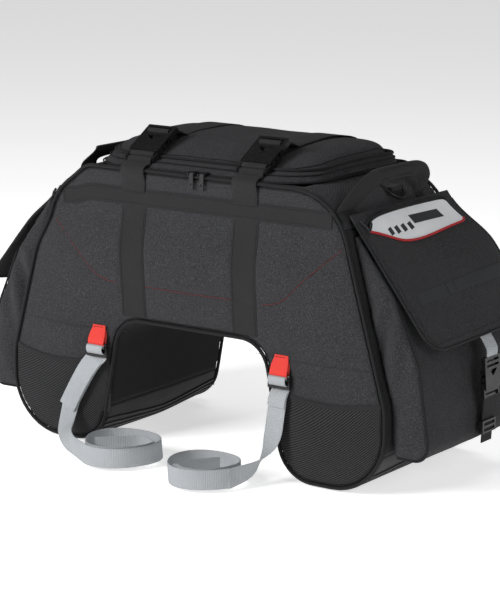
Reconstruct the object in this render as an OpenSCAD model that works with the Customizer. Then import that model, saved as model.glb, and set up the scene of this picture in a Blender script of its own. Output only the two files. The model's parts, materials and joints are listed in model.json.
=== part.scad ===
// Saddle-shaped motorcycle tail bag: an arched soft bag that straddles the pillion seat.
// Millimetres. X runs across the motorcycle, Y towards its tail, Z up.
// The origin is the middle of the arch's underside, where the bag sits on the seat.

/* [Bag body] */
// Depth of the bag along the motorcycle
bag_depth = 250; // [246:2:260]
// Height of the top deck above the seat
deck_z = 195; // [193:1:197]
// Drop of the two lobes below the seat
lobe_drop = 168; // [164:1:174]
// Half of the width of the seat arch
arch_half = 112; // [108:1:113]
// Thickness of the coated outer fabric
skin_t = 2.5; // [2:0.25:2.75]

/* [Lid] */
// Half of the lid's width
lid_half = 160; // [152:1:162]
// Height of the lid's side band
lid_band = 7.8; // [6.5:0.1:8]
// Rise of the lid's crown above its side band
lid_crown = 26; // [20:1:27]

/* [Webbing] */
// Width of the compression straps
wide_web = 38; // [36:1:39]
// Width of the mounting and pocket straps
narrow_web = 25; // [23:1:25]
// Thickness of all webbing
web_t = 1.6; // [1.2:0.1:1.7]
// Distance of each compression strap from the bag's centre line
strap_x = 86; // [84:1:90]

/* [Side pockets] */
// Half of the length of each side pocket
pocket_half = 112; // [110:1:114]
// Slant length of the pocket flap
flap_len = 185; // [180:1:186]

/* [Hidden] */

$fn = 48;
gap = 0.2;             // clearance between pieces that only touch
panel_t = 3;           // front and rear panels, fabric and backing
foam_t = 6;
lining_t = 1.2;
board_t = 2.5;
piping_d = 4.4;
front_y = -bag_depth / 2;
floor_z = -lobe_drop;
web_y = front_y - gap; // back of the webbing that is sewn to the front panel

// ---------- outlines ----------

function unit(v) = v / norm(v);
function turn_of(a, b) = a[0] * b[1] - a[1] * b[0];
function xy(p) = [p[0], p[1]];
function polar(r, angle) = r * [cos(angle), sin(angle)];

// Moves each corner [x, y, radius] of an anticlockwise outline inwards by d, and fits its radius.
function inset(c, d) = [
    for (i = [0:len(c) - 1])
        let (p = xy(c[i]),
             a = unit(p - xy(c[(i + len(c) - 1) % len(c)])),
             b = unit(xy(c[(i + 1) % len(c)]) - p),
             na = [-a[1], a[0]],
             nb = [-b[1], b[0]],
             q = p + (na + nb) * d / (1 + na * nb))
        [q[0], q[1], max(c[i][2] - d * sign(turn_of(a, b)), 0.4)]
];

// Points of a closed outline whose corners [x, y, radius] are rounded.
function rounded(c, n = 10) = [
    for (i = [0:len(c) - 1])
        let (p = xy(c[i]),
             u = unit(xy(c[(i + len(c) - 1) % len(c)]) - p),
             v = unit(xy(c[(i + 1) % len(c)]) - p),
             half = acos(u * v) / 2,
             o = p + unit(u + v) * c[i][2] / sin(half),
             s = p + u * c[i][2] / tan(half) - o,
             sweep = (180 - 2 * half) * sign(turn_of(s, -u)),
             start = atan2(s[1], s[0]))
        for (k = [0:n]) o + polar(c[i][2], start + sweep * k / n)
];

// Front view of the bag: two lobes joined by an arch over the seat.
shoulder_r = 80;
shoulder = [216, deck_z, shoulder_r];
lobe_toe = [143, floor_z, 50];
lobe_heel = [290, floor_z, 75];
lobe_hip = [288, -60, 60];
arch = [arch_half, 0, 40];
function other_side(c) = [-c[0], c[1], c[2]];
body_corners = [
    lobe_toe, lobe_heel, lobe_hip, shoulder,
    other_side(shoulder), other_side(lobe_hip), other_side(lobe_heel), other_side(lobe_toe),
    other_side(arch), arch
];
function body_outline(d = 0) = rounded(inset(body_corners, d));

// Top view of the zip seam, and of the lid's side band, which leans in at the front and rear.
function lid_corners(half, y0, y1, r) = [[half, y0, r], [half, y1, r], [-half, y1, r], [-half, y0, r]];
function seam_outline(d = 0) = rounded(inset(lid_corners(lid_half + 5, front_y + 7, -front_y - 9, 55), d));
lid_y = [front_y + 26, -front_y - 17];
function rim_outline(d = 0) = rounded(inset(lid_corners(lid_half, lid_y[0], lid_y[1], 48), d));

// ---------- building blocks ----------

// Stands a drawing of the XZ plane up, between two values of Y.
module upright(y0, y1) translate([0, y1, 0]) rotate([90, 0, 0]) linear_extrude(y1 - y0) children();

// Extrudes a drawing of the YZ plane along X, centred on x.
module across(x, w) translate([x - w / 2, 0, 0]) rotate([90, 0, 90]) linear_extrude(w) children();

// Raises a drawing of the XY plane between two heights.
module slab(z0, z1) translate([0, 0, z0]) linear_extrude(z1 - z0) children();

// A strip of thickness t that lies on the left of a path.
module strip(path, t) {
    n = len(path);
    dirs = [for (i = [0:n - 1]) unit(path[min(i + 1, n - 1)] - path[max(i - 1, 0)])];
    polygon(concat(path, [for (i = [n - 1:-1:0]) path[i] + t * [-dirs[i][1], dirs[i][0]]]));
}

module ring(outer, inner) difference() {
    polygon(outer);
    polygon(inner);
}

// s is 1 on the right and -1 on the left.
module side(s) mirror([s < 0 ? 1 : 0, 0, 0]) children();

module both_sides() for (s = [-1, 1]) side(s) children();

module front_and_rear() for (t = [0, 180]) rotate([0, 0, t]) children();

// ---------- outer shell ----------

module front_panel() color("#303133") upright(front_y, front_y + panel_t) polygon(body_outline());

module rear_panel() color("#303133") upright(-front_y - panel_t, -front_y) polygon(body_outline());

module panel_stiffeners() color("#55585c") front_and_rear()
    upright(front_y + panel_t + gap, front_y + panel_t + gap + foam_t) polygon(body_outline(skin_t + 1));

// A stretch of the fabric band that joins the front and rear panels.
module skin_stretch(x, z) upright(front_y + panel_t + gap, -front_y - panel_t - gap) intersection() {
    ring(body_outline(), body_outline(skin_t));
    translate([x[0], z[0]]) square([x[1] - x[0], z[1] - z[0]]);
}

far_x = 320;           // beyond the body on either side
lobe_mid_x = 150;      // between a lobe's inner and outer walls
deck_seam_z = 150;
tread_seam_z = -116;
mouth_edge = 4;

module top_deck() color("#2c2d2f") difference() {
    skin_stretch([-far_x, far_x], [deck_seam_z, deck_z + 1]);
    slab(deck_z - 20, deck_z + 20) polygon(seam_outline(mouth_edge));
}

module side_panels() color("#2c2d2f") both_sides()
    skin_stretch([lobe_mid_x, far_x], [tread_seam_z + gap, deck_seam_z - gap]);

module tread_panels() color("#232425") both_sides() skin_stretch([60, far_x], [floor_z - 1, tread_seam_z]);

module tunnel_panel() color("#262728") skin_stretch([-lobe_mid_x, lobe_mid_x], [tread_seam_z + gap, skin_t + 1]);

lining_in = skin_t + 0.6;
lining_y = front_y + panel_t + foam_t + 1;

module lining() color("#8d9095") difference() {
    upright(lining_y, -lining_y) polygon(body_outline(lining_in));
    upright(lining_y + lining_t, -lining_y - lining_t) polygon(body_outline(lining_in + lining_t));
    slab(deck_z - 20, deck_z + 20) polygon(seam_outline(2 * mouth_edge));
}

board_margin = 6;
board_half = arch_half - 32;
module base_board() color("#1c1c1d")
    translate([-board_half, lining_y + board_margin, lining_in + lining_t + gap])
        cube([2 * board_half, -2 * (lining_y + board_margin), board_t]);

// Corded piping along the edges of the front and rear panels, left out where the zip crosses.
module panel_piping() color("#1d1e1f") front_and_rear()
    upright(front_y - gap - piping_d, front_y - gap) difference() {
        ring(body_outline(), body_outline(piping_d));
        translate([-lid_half, deck_z - 20]) square([2 * lid_half, 40]);
    }

// ---------- sewn-on webbing and tabs ----------

band_z = [150, 170];
band_lift = web_t + 0.6;             // how far a band rides up over a vertical strap
crossing = [strap_x - wide_web / 2, strap_x + wide_web / 2];
ramp = 5;
band_end_x = 205;
band_path = [
    [-1, 0], [crossing[0] - 3 - ramp, 0], [crossing[0] - 3, band_lift],
    [crossing[1] + 3, band_lift], [crossing[1] + 3 + ramp, 0], [band_end_x, 0]
];
module cross_bands() color("#242526") front_and_rear() slab(band_z[0], band_z[1])
    both_sides() strip([for (p = band_path) [p[0], web_y - p[1]]], -web_t);

web_foot_z = piping_d + 1;
// Side view of a front strap: sewn to the panel, then free up to its buckle.
web_sewn = band_z[1] + 2;
web_bow = [-6, -11];        // where the free part stands out most, from the deck's edge
web_over = [-1, 2];         // where it passes over the deck's edge
web_end = [11, 6.5];        // where it meets the buckle
front_web_path = [
    [web_y, web_foot_z], [web_y, web_sewn], [web_y, deck_z] + web_bow, [web_y, deck_z] + web_over,
    [web_y, deck_z] + web_end
];
module front_webbing() color("#262729") both_sides() across(strap_x, wide_web) strip(front_web_path, web_t);

module rear_webbing() color("#262729") both_sides() across(strap_x, wide_web)
    translate([-web_y, web_foot_z]) square([web_t, deck_z - web_foot_z - 7]);

mesh_top_z = -60;
module mesh_pockets() color("#191a1b") upright(front_y - 2, web_y) both_sides() intersection() {
    polygon(body_outline(piping_d + 0.6));
    translate([100, floor_z]) square([far_x - 100, mesh_top_z - floor_z]);
}

tab_x = 142;
tab_top_z = -14;
rear_tab_x = 168;
lock_off = 9;          // how far a strap lock hangs in front of the panel
bar = [front_y - lock_off, -36];     // centre of a strap lock's top bar, in Y and Z
bar_r = 1.7;
eye_r = bar_r + 0.25;
module anchor_tab(x) across(x, narrow_web) difference() {
    union() {
        translate(bar) circle(eye_r + web_t);
        polygon([[web_y, tab_top_z], [web_y - web_t, tab_top_z], bar - [eye_r + web_t, 0], bar + [0, eye_r + web_t]]);
    }
    translate(bar) circle(eye_r);
}
module anchor_tabs() color("#d8322e") both_sides() {
    anchor_tab(tab_x);
    mirror([0, 1, 0]) anchor_tab(rear_tab_x);
}

// ---------- mounting straps ----------

lock_half = 16;
rail_w = 3;
rail_r = 2.4;
lock_len = 16;
lock_foot_z = bar[1] - lock_len;
mid_bar_r = 1.5;
foot_bar_h = 3;
module ladder_lock(x) {
    across(x, 2 * lock_half) translate(bar) circle(bar_r);
    across(x, 2 * lock_half) translate([bar[0], bar[1] - lock_len / 2]) circle(mid_bar_r);
    across(x, 2 * lock_half) translate([bar[0] - rail_r, lock_foot_z]) square([2 * rail_r, foot_bar_h]);
    for (s = [-1, 1]) across(x + s * (lock_half - rail_w / 2), rail_w) {
        translate(bar) circle(rail_r);
        translate([bar[0] - rail_r, lock_foot_z]) square([2 * rail_r, lock_len]);
    }
}

strap_head_z = lock_foot_z - 1;
strap_y = [bar[0] - rail_r - 0.4, bar[0] - rail_r - 0.4 + web_t];
coil_lift = 2;
coil_z = [floor_z + coil_lift, floor_z + coil_lift + narrow_web];

// A strap that hangs from its lock, slants to foot_x, then lies on edge along a path on the floor.
module drop(foot_x) upright(strap_y[0], strap_y[1]) polygon([
    [tab_x - narrow_web / 2, strap_head_z], [foot_x - narrow_web / 2, coil_z[1]],
    [foot_x - narrow_web / 2, coil_z[0]], [foot_x + narrow_web / 2, coil_z[0]],
    [foot_x + narrow_web / 2, coil_z[1]], [tab_x + narrow_web / 2, strap_head_z]
]);

// From the strap's foot to a loose coil that tightens from radius r[0] to r[1].
function coil_path(foot_x, centre, r, start, sweep, n = 60) = concat(
    [[foot_x, strap_y[0] + web_t / 2]],
    [for (k = [0:n]) centre + polar(r[0] + (r[1] - r[0]) * k / n, start - sweep * k / n)]
);

module mount_strap(foot_x, centre, r, start, sweep) {
    drop(foot_x);
    slab(coil_z[0], coil_z[1]) strip(coil_path(foot_x, centre, r, start, sweep), -web_t);
}

module ladder_lock_left() color("#151516") side(-1) ladder_lock(tab_x);
module ladder_lock_right() color("#151516") side(1) ladder_lock(tab_x);
module mount_strap_left() color("#aeb1b6") side(-1)
    mount_strap(foot_x = 195, centre = [75, -172], r = [52, 41], start = -50, sweep = 600);
module mount_strap_right() color("#aeb1b6") side(1)
    mount_strap(foot_x = 120, centre = [70, -190], r = [47, 37], start = -15, sweep = 560);
module rear_ladder_locks() color("#151516") mirror([0, 1, 0]) both_sides() ladder_lock(rear_tab_x);
rear_strap_end = -150;
module rear_mount_straps() color("#aeb1b6") mirror([0, 1, 0]) both_sides() upright(strap_y[0], strap_y[1])
    translate([rear_tab_x - narrow_web / 2, rear_strap_end]) square([narrow_web, strap_head_z - rear_strap_end]);

// ---------- side-release buckles ----------
// Drawn lying flat: X across, Y from the strap adjuster to the plug's bars, Z outwards.

buckle_half = 26;
wall = 4;              // width of a side rail
rail_x = buckle_half - wall / 2;
adjuster_len = 16;
tray_y = [17, 47];
window_y = [27, 38.5];
tray_h = 9;
floor_t = 1.6;
cover_z = [9.4, 11.4];
frame_y = [49, 72];
tongue_z = [3, 7.5];
arm_z = [3, 8.6];
arm_travel_clear = 12; // nearest an arm comes to the centre line
arm_out = buckle_half + 0.4;

module bar_across(y, z) translate([-buckle_half, y[0], z[0]]) cube([2 * buckle_half, y[1] - y[0], z[1] - z[0]]);

// Two bars between short rails, which grip the webbing.
module adjuster(length) {
    bar_across([0, 4.5], [0, 4]);
    bar_across([9, 13.5], [3, 7]);
    for (s = [-1, 1]) across(s * rail_x, wall) square([length, 7]);
}

// The socket's floor and rails. The rails lean away from the arms, so that the plug lifts out.
module tray() {
    bar_across(tray_y, [0, floor_t]);
    bar_across([tray_y[0], tray_y[0] + 2.5], [0, tray_h]);
    for (s = [-1, 1]) across(s * rail_x, wall) {
        translate([tray_y[0], 0]) square([window_y[0] - tray_y[0], tray_h]);
        polygon([[window_y[1], 0.5], [44.5, 0.5], [48, tray_h], [45, tray_h]]);
    }
}

// The cover with its V notch, the guide tongue and the bars that hold the upper strap.
notch_half = 15;
notch_depth = 13;
slot_w = 4.5;
slot_half = 20;
module plug() {
    slab(cover_z[0], cover_z[1]) polygon([
        [-buckle_half, adjuster_len - 2], [buckle_half, adjuster_len - 2],
        [buckle_half, frame_y[0] + 1], [notch_half, frame_y[0] + 1], [0, frame_y[0] + 1 - notch_depth],
        [-notch_half, frame_y[0] + 1], [-buckle_half, frame_y[0] + 1]
    ]);
    translate([-5, 22, tongue_z[0]]) cube([10, frame_y[0] - 21, tongue_z[1] - tongue_z[0]]);
    difference() {
        bar_across(frame_y, [tongue_z[0], cover_z[1]]);
        for (y = [frame_y[0] + 5, frame_y[0] + 14]) translate([-slot_half, y, 0])
            cube([2 * slot_half, slot_w, cover_z[1] + 1]);
    }
}

// A latch arm: its head fills the side window and is pinched inwards to let go.
module arm(s) slab(arm_z[0], arm_z[1]) mirror([s < 0 ? 1 : 0, 0]) polygon([
    [arm_travel_clear, 24], [16, 24], [arm_out, 30], [arm_out, 36.5],
    [16, 36.5], [16, frame_y[0] - 1], [arm_travel_clear, frame_y[0] - 1]
]);

// The lid's buckles bridge from the front straps to the straps over the lid.
top_scale = 0.85;
buckle_slope = 31;
buckle_foot = [front_y + 13, deck_z + 8];
module at_top_buckle(s) translate([s * strap_x, buckle_foot[0], buckle_foot[1]]) rotate([buckle_slope, 0, 0])
    scale(top_scale) children();

module strap_adjusters() color("#151516") for (s = [-1, 1]) at_top_buckle(s) adjuster(adjuster_len);
module top_housings() color("#171718") for (s = [-1, 1]) at_top_buckle(s) tray();
module top_plugs() color("#151516") for (s = [-1, 1]) at_top_buckle(s) plug();
module latch_arm_left_outer() color("#1b1b1c") at_top_buckle(-1) arm(-1);
module latch_arm_left_inner() color("#1b1b1c") at_top_buckle(-1) arm(1);
module latch_arm_right_inner() color("#1b1b1c") at_top_buckle(1) arm(-1);
module latch_arm_right_outer() color("#1b1b1c") at_top_buckle(1) arm(1);

// ---------- zip and lid ----------

tape_t = 1.2;
deck_tape_z = deck_z + gap;
lid_tape_z = deck_tape_z + tape_t + 0.4;
tape_in = 6;
module deck_zip_tape() color("#1a1a1b") slab(deck_tape_z, deck_tape_z + tape_t)
    ring(seam_outline(-1), seam_outline(tape_in));

// The lid's tape is cut away under each buckle's adjuster.
notch_w = wide_web + 22;
module lid_zip_tape() color("#1a1a1b") slab(lid_tape_z, lid_tape_z + tape_t) difference() {
    ring(seam_outline(-1), rim_outline(4));
    for (s = [-1, 1]) translate([s * strap_x - notch_w / 2, front_y])
        square([notch_w, lid_y[0] - 1 - front_y]);
}

rim_z = lid_tape_z + tape_t + gap;
rim_t = 2;
rim_top = rim_z + lid_band;
module lid_rim() color("#2c2d2f") slab(rim_z, rim_top) ring(rim_outline(), rim_outline(rim_t));

lid_piping_d = 3.4;
module lid_piping() color("#1d1e1f") slab(rim_top + gap, rim_top + gap + lid_piping_d)
    ring(rim_outline(), rim_outline(lid_piping_d));

lid_mid_y = (lid_y[0] + lid_y[1]) / 2;
lid_half_y = (lid_y[1] - lid_y[0]) / 2;
crown_base = rim_top + gap;
crown_top = crown_base + lid_crown;
side_drop = 10;        // how far the crown falls towards the lid's sides
function arc_radius(half, rise) = (half * half + rise * rise) / (2 * rise);
crown_ry = arc_radius(lid_half_y, lid_crown);
crown_rx = arc_radius(lid_half, side_drop);
function crown_over_y(y) = crown_top - crown_ry + sqrt(pow(crown_ry, 2) - pow(y - lid_mid_y, 2));
function crown_over_x(x) = crown_top - crown_rx + sqrt(pow(crown_rx, 2) - pow(x, 2));

// The space under the crown, lowered by d and drawn in from its edge.
module crown(d, edge) intersection() {
    slab(crown_base - 2 * d, crown_top + 1) polygon(rim_outline(edge));
    translate([-far_x, lid_mid_y, crown_top - crown_ry - d]) rotate([0, 90, 0])
        cylinder(h = 2 * far_x, r = crown_ry, $fn = 180);
    translate([0, far_x, crown_top - crown_rx - d]) rotate([90, 0, 0])
        cylinder(h = 2 * far_x, r = crown_rx, $fn = 360);
}
module lid_panel() color("#2b2c2e") difference() {
    crown(0, lid_piping_d + gap);
    crown(skin_t, lid_piping_d + gap + skin_t);
}

lid_foam_t = 6;
module lid_foam() color("#55585c") slab(rim_top - lid_foam_t - 0.4, rim_top - 0.4)
    polygon(rim_outline(rim_t + 0.6));

// Side view of a strap over the lid, from the buckle's last bar to the rear of the lid.
strap_off = 1.4;
function on_lid(y) = [y, min(crown_over_y(y), crown_over_x(strap_x - wide_web / 2)) + strap_off];
strap_head = [[63.6, 43.6], [76, 40.8], [102, 37.8]];    // from the buckle onto the lid
strap_run = [10:15:85];
tail_off = 2.5;
strap_tail = [[-5, 2], [1.5, 1]];    // over the piping at the lid's rear
top_strap_path = concat(
    [for (p = strap_head) [front_y, deck_z] + p],
    [for (y = strap_run) on_lid(y)],
    [for (p = strap_tail) [lid_y[1], rim_top + lid_piping_d] + p],
    [[lid_y[1] + tail_off, rim_top], [lid_y[1] + tail_off, lid_tape_z + tail_off]]
);
module top_straps() color("#262729") both_sides() across(strap_x, wide_web) strip(top_strap_path, web_t);

// ---------- zip sliders and pulls ----------

slider_mid = 14;        // the two sliders meet a little to the right of the middle
slider_apart = 8;
function slider_x(s) = slider_mid + s * slider_apart;
slider_half = 5;
slider_y = [front_y - 2, front_y + 5.7];
slider_z = [deck_z + 0.4, deck_z + 5.4];
pin = [front_y - 4, deck_z + 3];     // axis of the pull, in Y and Z
pin_r = 0.9;
lug_t = 1.2;
lug_x = 4.2;
pull_half = 3;
pull_t = 1.6;
pull_len = 18;

module zip_slider(s) {
    across(slider_x(s), 2 * slider_half) translate([slider_y[0], slider_z[0]])
        square([slider_y[1] - slider_y[0], slider_z[1] - slider_z[0]]);
    for (x = [-lug_x, lug_x]) across(slider_x(s) + x, lug_t) difference() {
        union() {
            translate(pin) circle(2.2);
            translate([pin[0], pin[1] - 2.2]) square([slider_y[0] - pin[0] + 0.5, 4.4]);
        }
        translate(pin) circle(pin_r + 0.2);
    }
}
module zip_pull(s) {
    across(slider_x(s), 2 * (lug_x + lug_t / 2)) translate(pin) circle(pin_r);
    translate([slider_x(s), pin[0] + pull_t / 2, pin[1]]) rotate([90, 0, 0]) linear_extrude(pull_t)
        difference() {
            union() {
                circle(pull_half - 1.4);
                translate([-pull_half, -pull_len]) square([2 * pull_half, pull_len - 1]);
            }
            translate([0, 5 - pull_len]) circle(1.6);
        }
}
module zip_slider_left() color("#202021") zip_slider(-1);
module zip_slider_right() color("#202021") zip_slider(1);
module zip_pull_left() color("#1b1b1c") zip_pull(-1);
module zip_pull_right() color("#1b1b1c") zip_pull(1);

// ---------- handles and D-rings on the shoulders ----------

side_dir = unit(xy(lobe_hip) - xy(shoulder));
shoulder_half = acos(-side_dir[0]) / 2;
shoulder_o = xy(shoulder) - [shoulder_r / tan(shoulder_half), shoulder_r];

// Places a drawing on the rounded shoulder, at an angle from straight up, with Z outwards.
module on_shoulder(angle) translate([shoulder_o[0], 0, shoulder_o[1]]) rotate([0, angle, 0])
    translate([0, 0, shoulder_r]) children();

// Each handle lies in a plane that leans out from its two feet. Corners are Y, height and radius.
foot_angle = 47;
foot_gap = 1.5;
handle_foot = shoulder_o + (shoulder_r + foot_gap) * [sin(foot_angle), cos(foot_angle)];
handle_lean = 12;
handle_corners = [
    [-122, 0, 1], [-92, 0, 1], [-40, 24, 6], [34, 25, 10], [54, 14, 8], [56, 0, 1],
    [78, 0, 1], [84, 18, 12], [62, 42, 16], [-54, 44, 6]
];
module handle() translate([handle_foot[0], 0, handle_foot[1]]) rotate([0, handle_lean, 0])
    across(0, web_t) polygon(rounded(handle_corners));
module handle_left() color("#262729") side(-1) handle();
module handle_right() color("#262729") side(1) handle();

ring_tilt = 40;
ring_y = 15;
wire_r = 2;
ring_r = 15;
ring_off = 5;          // height of the ring's bar above the skin
loop_r = wire_r + 0.3;
module d_ring_loop() on_shoulder(ring_tilt) translate([0, ring_y + (narrow_web - 1) / 2, ring_off]) rotate([90, 0, 0])
    linear_extrude(narrow_web - 1) difference() {
        union() {
            circle(loop_r + web_t);
            translate([-14, 0.3 - loop_r - web_t]) square([14, web_t]);
        }
        circle(loop_r);
    }
module d_ring_loops() color("#262729") both_sides() d_ring_loop();
module d_ring() on_shoulder(ring_tilt) translate([0, ring_y, ring_off]) {
    translate([0, ring_r + wire_r, 0]) rotate([90, 0, 0]) cylinder(h = 2 * (ring_r + wire_r), r = wire_r);
    rotate([0, 0, -90]) rotate_extrude(angle = 180) translate([ring_r, 0]) circle(wire_r);
}
module d_ring_left() color("#1b1b1c") side(-1) d_ring();
module d_ring_right() color("#1b1b1c") side(1) d_ring();

// ---------- side pockets ----------

pocket_wall = 2.5;
// Section of the right pocket in X and Z. Its inner edge follows the bag's side.
pocket_corners = [
    [290.6, -120, 3], [344, -121, 20], [327, -8, 60], [291.5, 70, 110], [228.8, 151, 1], [288.9, -60, 8]
];
flap_top = [225, 158];
flap_tilt = 52.3;
flap_off = 3;
flap_t = 2.5;
module on_flap() translate([flap_top[0], 0, flap_top[1]]) rotate([0, flap_tilt, 0]) children();

// The pocket's mouth, under the flap: its extent down the slope, and its distance from each end.
mouth_s = [22, 58];
mouth_end = 14;
mouth_depth = 12;
module side_pockets() color("#2a2b2d") both_sides() difference() {
    upright(-pocket_half, pocket_half) polygon(rounded(pocket_corners));
    upright(pocket_wall - pocket_half, pocket_half - pocket_wall)
        polygon(rounded(inset(pocket_corners, pocket_wall)));
    on_flap() translate([mouth_s[0], mouth_end - pocket_half, -mouth_depth])
        cube([mouth_s[1] - mouth_s[0], 2 * (pocket_half - mouth_end), mouth_depth + flap_off]);
}

flap_half = pocket_half - 4;
flap_hem = 1.5;
flap_r = [3, 28];      // radii of its upper and lower corners
module flap() on_flap() slab(flap_off, flap_off + flap_t) polygon(rounded([
    [flap_len, -flap_half, flap_r[1]], [flap_len, flap_half, flap_r[1]],
    [flap_hem, flap_half, flap_r[0]], [flap_hem, -flap_half, flap_r[0]]
]));
module flap_left() color("#2b2c2e") side(-1) flap();
module flap_right() color("#2b2c2e") side(1) flap();

window_t = 0.8;
// Corners of the window: distance down the flap, Y and radius.
window_corners = [[41, 96, 5], [4, 96, 5], [4, -60, 20], [14, -86, 4], [44, -38, 30], [46, 10, 60]];
module flap_window() on_flap() translate([0, 0, flap_off + flap_t + gap]) linear_extrude(window_t)
    polygon(rounded(window_corners));
module flap_window_left() color("#dfe3e6") side(-1) flap_window();
module flap_window_right() color("#dfe3e6") side(1) flap_window();

pocket_scale = 0.7;    // the pocket buckles are the same design for narrow webbing
pocket_foot = [350, -61];
pocket_lean = 4;
pocket_mid = 12;       // the pocket buckles sit a little behind the middle
module at_pocket_buckle(s) side(s) translate([pocket_foot[0], pocket_mid, pocket_foot[1]]) rotate([0, -pocket_lean, 0])
    rotate([90, 0, 90]) scale(pocket_scale) children();

// The short loop that joins the flap's hem to the plug, in X and Z.
function flap_point(s, n) = flap_top + s * [cos(flap_tilt), -sin(flap_tilt)] + n * [sin(flap_tilt), cos(flap_tilt)];
loop_off = flap_off + flap_t + gap;
plug_top = pocket_foot + frame_y[1] * pocket_scale * [-sin(pocket_lean), cos(pocket_lean)];
loop_sewn = 18;        // length sewn to the flap
loop_foot = [[3.2, 8], [4.2, 1]];    // its last two points, from the plug's top
loop_path = concat(
    [flap_point(flap_len - loop_sewn, loop_off), flap_point(flap_len + 1, loop_off)],
    [for (p = loop_foot) plug_top + p]
);
module flap_loop() upright(pocket_mid - narrow_web / 2, pocket_mid + narrow_web / 2) strip(loop_path, web_t);
module flap_loop_left() color("#aeb1b6") side(-1) flap_loop();
module flap_loop_right() color("#aeb1b6") side(1) flap_loop();

module pocket_sockets() color("#151516") for (s = [-1, 1]) at_pocket_buckle(s) {
    adjuster(tray_y[0] + 1);
    tray();
}
module pocket_plug_left() color("#171718") at_pocket_buckle(-1) plug();
module pocket_plug_right() color("#171718") at_pocket_buckle(1) plug();
module pocket_arm_left_front() color("#1b1b1c") at_pocket_buckle(-1) arm(-1);
module pocket_arm_left_rear() color("#1b1b1c") at_pocket_buckle(-1) arm(1);
module pocket_arm_right_front() color("#1b1b1c") at_pocket_buckle(1) arm(-1);
module pocket_arm_right_rear() color("#1b1b1c") at_pocket_buckle(1) arm(1);

// The strap below each socket, held flat by a tri-glide.
low_strap = [347.5, 350];            // foot and head of the strap, in X
low_strap_z = [-118, pocket_foot[1] - 1];
glide_z = [-106, -90];
glide_half = narrow_web / 2 + 3.5;
module pocket_straps() color("#262729") both_sides()
    upright(pocket_mid - narrow_web / 2, pocket_mid + narrow_web / 2)
    strip([[low_strap[1], low_strap_z[1]], [low_strap[0], low_strap_z[0]]], web_t);
glide_back = 1.6;      // from the strap's foot to the back of the tri-glide
glide_t = 6;
glide_skin = 1.2;      // thickness of its front and back walls
glide_slot = 4;        // height of the two slots that the strap threads
slot_room = 0.6;
module pocket_triglides() color("#151516") both_sides() translate([0, pocket_mid, 0]) difference() {
    translate([low_strap[0] - glide_back, -glide_half, glide_z[0]])
        cube([glide_t, 2 * glide_half, glide_z[1] - glide_z[0]]);
    translate([low_strap[0] - glide_back + glide_skin, -narrow_web / 2 - slot_room, glide_z[0] - 1])
        cube([glide_t - 2 * glide_skin, narrow_web + 2 * slot_room, glide_z[1] - glide_z[0] + 2]);
    for (z = [glide_z[0] + 2.5, glide_z[1] - 2.5 - glide_slot])
        translate([low_strap[0] - glide_t, -narrow_web / 2, z]) cube([2 * glide_t, narrow_web, glide_slot]);
}

// ---------- nodes ----------

front_panel();
rear_panel();
panel_stiffeners();
top_deck();
side_panels();
tunnel_panel();
tread_panels();
lining();
base_board();
panel_piping();
cross_bands();
front_webbing();
rear_webbing();
mesh_pockets();
anchor_tabs();
deck_zip_tape();
strap_adjusters();
d_ring_loops();
side_pockets();
pocket_straps();
pocket_sockets();
pocket_triglides();
lid_panel();
lid_rim();
lid_foam();
lid_piping();
lid_zip_tape();
top_straps();
top_housings();
top_plugs();
latch_arm_left_outer();
latch_arm_left_inner();
latch_arm_right_inner();
latch_arm_right_outer();
zip_slider_left();
zip_slider_right();
zip_pull_left();
zip_pull_right();
handle_left();
handle_right();
d_ring_left();
d_ring_right();
flap_left();
flap_right();
flap_window_left();
flap_window_right();
flap_loop_left();
flap_loop_right();
pocket_plug_left();
pocket_plug_right();
pocket_arm_left_front();
pocket_arm_left_rear();
pocket_arm_right_front();
pocket_arm_right_rear();
ladder_lock_left();
ladder_lock_right();
mount_strap_left();
mount_strap_right();
rear_ladder_locks();
rear_mount_straps();
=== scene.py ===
"""Looks of a saddle-shaped motorcycle tail bag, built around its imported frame. Lengths are in millimetres
inside this script and become metres when a mesh is made. +X right, +Y rear, +Z up, origin under the seat arch."""

import json
import math

import bpy
import numpy as np
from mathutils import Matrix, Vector, noise
from mathutils.bvhtree import BVHTree
from mathutils.kdtree import KDTree


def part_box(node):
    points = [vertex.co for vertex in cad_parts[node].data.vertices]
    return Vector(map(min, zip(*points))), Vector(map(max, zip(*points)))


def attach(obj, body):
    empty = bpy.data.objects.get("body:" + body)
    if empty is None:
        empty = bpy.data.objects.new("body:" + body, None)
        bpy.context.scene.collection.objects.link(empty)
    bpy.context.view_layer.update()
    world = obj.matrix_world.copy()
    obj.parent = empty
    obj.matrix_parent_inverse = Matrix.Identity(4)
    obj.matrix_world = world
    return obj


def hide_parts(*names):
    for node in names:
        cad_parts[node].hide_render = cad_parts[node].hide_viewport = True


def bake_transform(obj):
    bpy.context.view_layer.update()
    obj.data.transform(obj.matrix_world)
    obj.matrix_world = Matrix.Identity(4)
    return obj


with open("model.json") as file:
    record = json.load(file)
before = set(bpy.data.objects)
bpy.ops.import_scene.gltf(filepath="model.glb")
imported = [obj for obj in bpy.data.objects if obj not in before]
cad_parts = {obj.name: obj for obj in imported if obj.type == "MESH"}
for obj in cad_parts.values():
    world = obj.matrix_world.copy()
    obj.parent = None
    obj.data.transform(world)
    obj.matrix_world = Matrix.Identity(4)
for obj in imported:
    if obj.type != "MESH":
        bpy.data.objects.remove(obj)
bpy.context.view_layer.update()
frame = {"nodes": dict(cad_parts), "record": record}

MM = 0.001
SIDES = (("left", -1), ("right", 1))
ENDS = (("front", -1), ("rear", 1))
ACROSS, ALONG, UPRIGHT = (1, 0, 0), (0, 1, 0), (0, 0, 1)


def cad_mm(node):
    """Lowest and highest corner of a CAD node, in millimetres."""
    low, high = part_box(node)
    return np.array(low) / MM, np.array(high) / MM


# ---------------------------------------------------------------- driving dimensions

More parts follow.
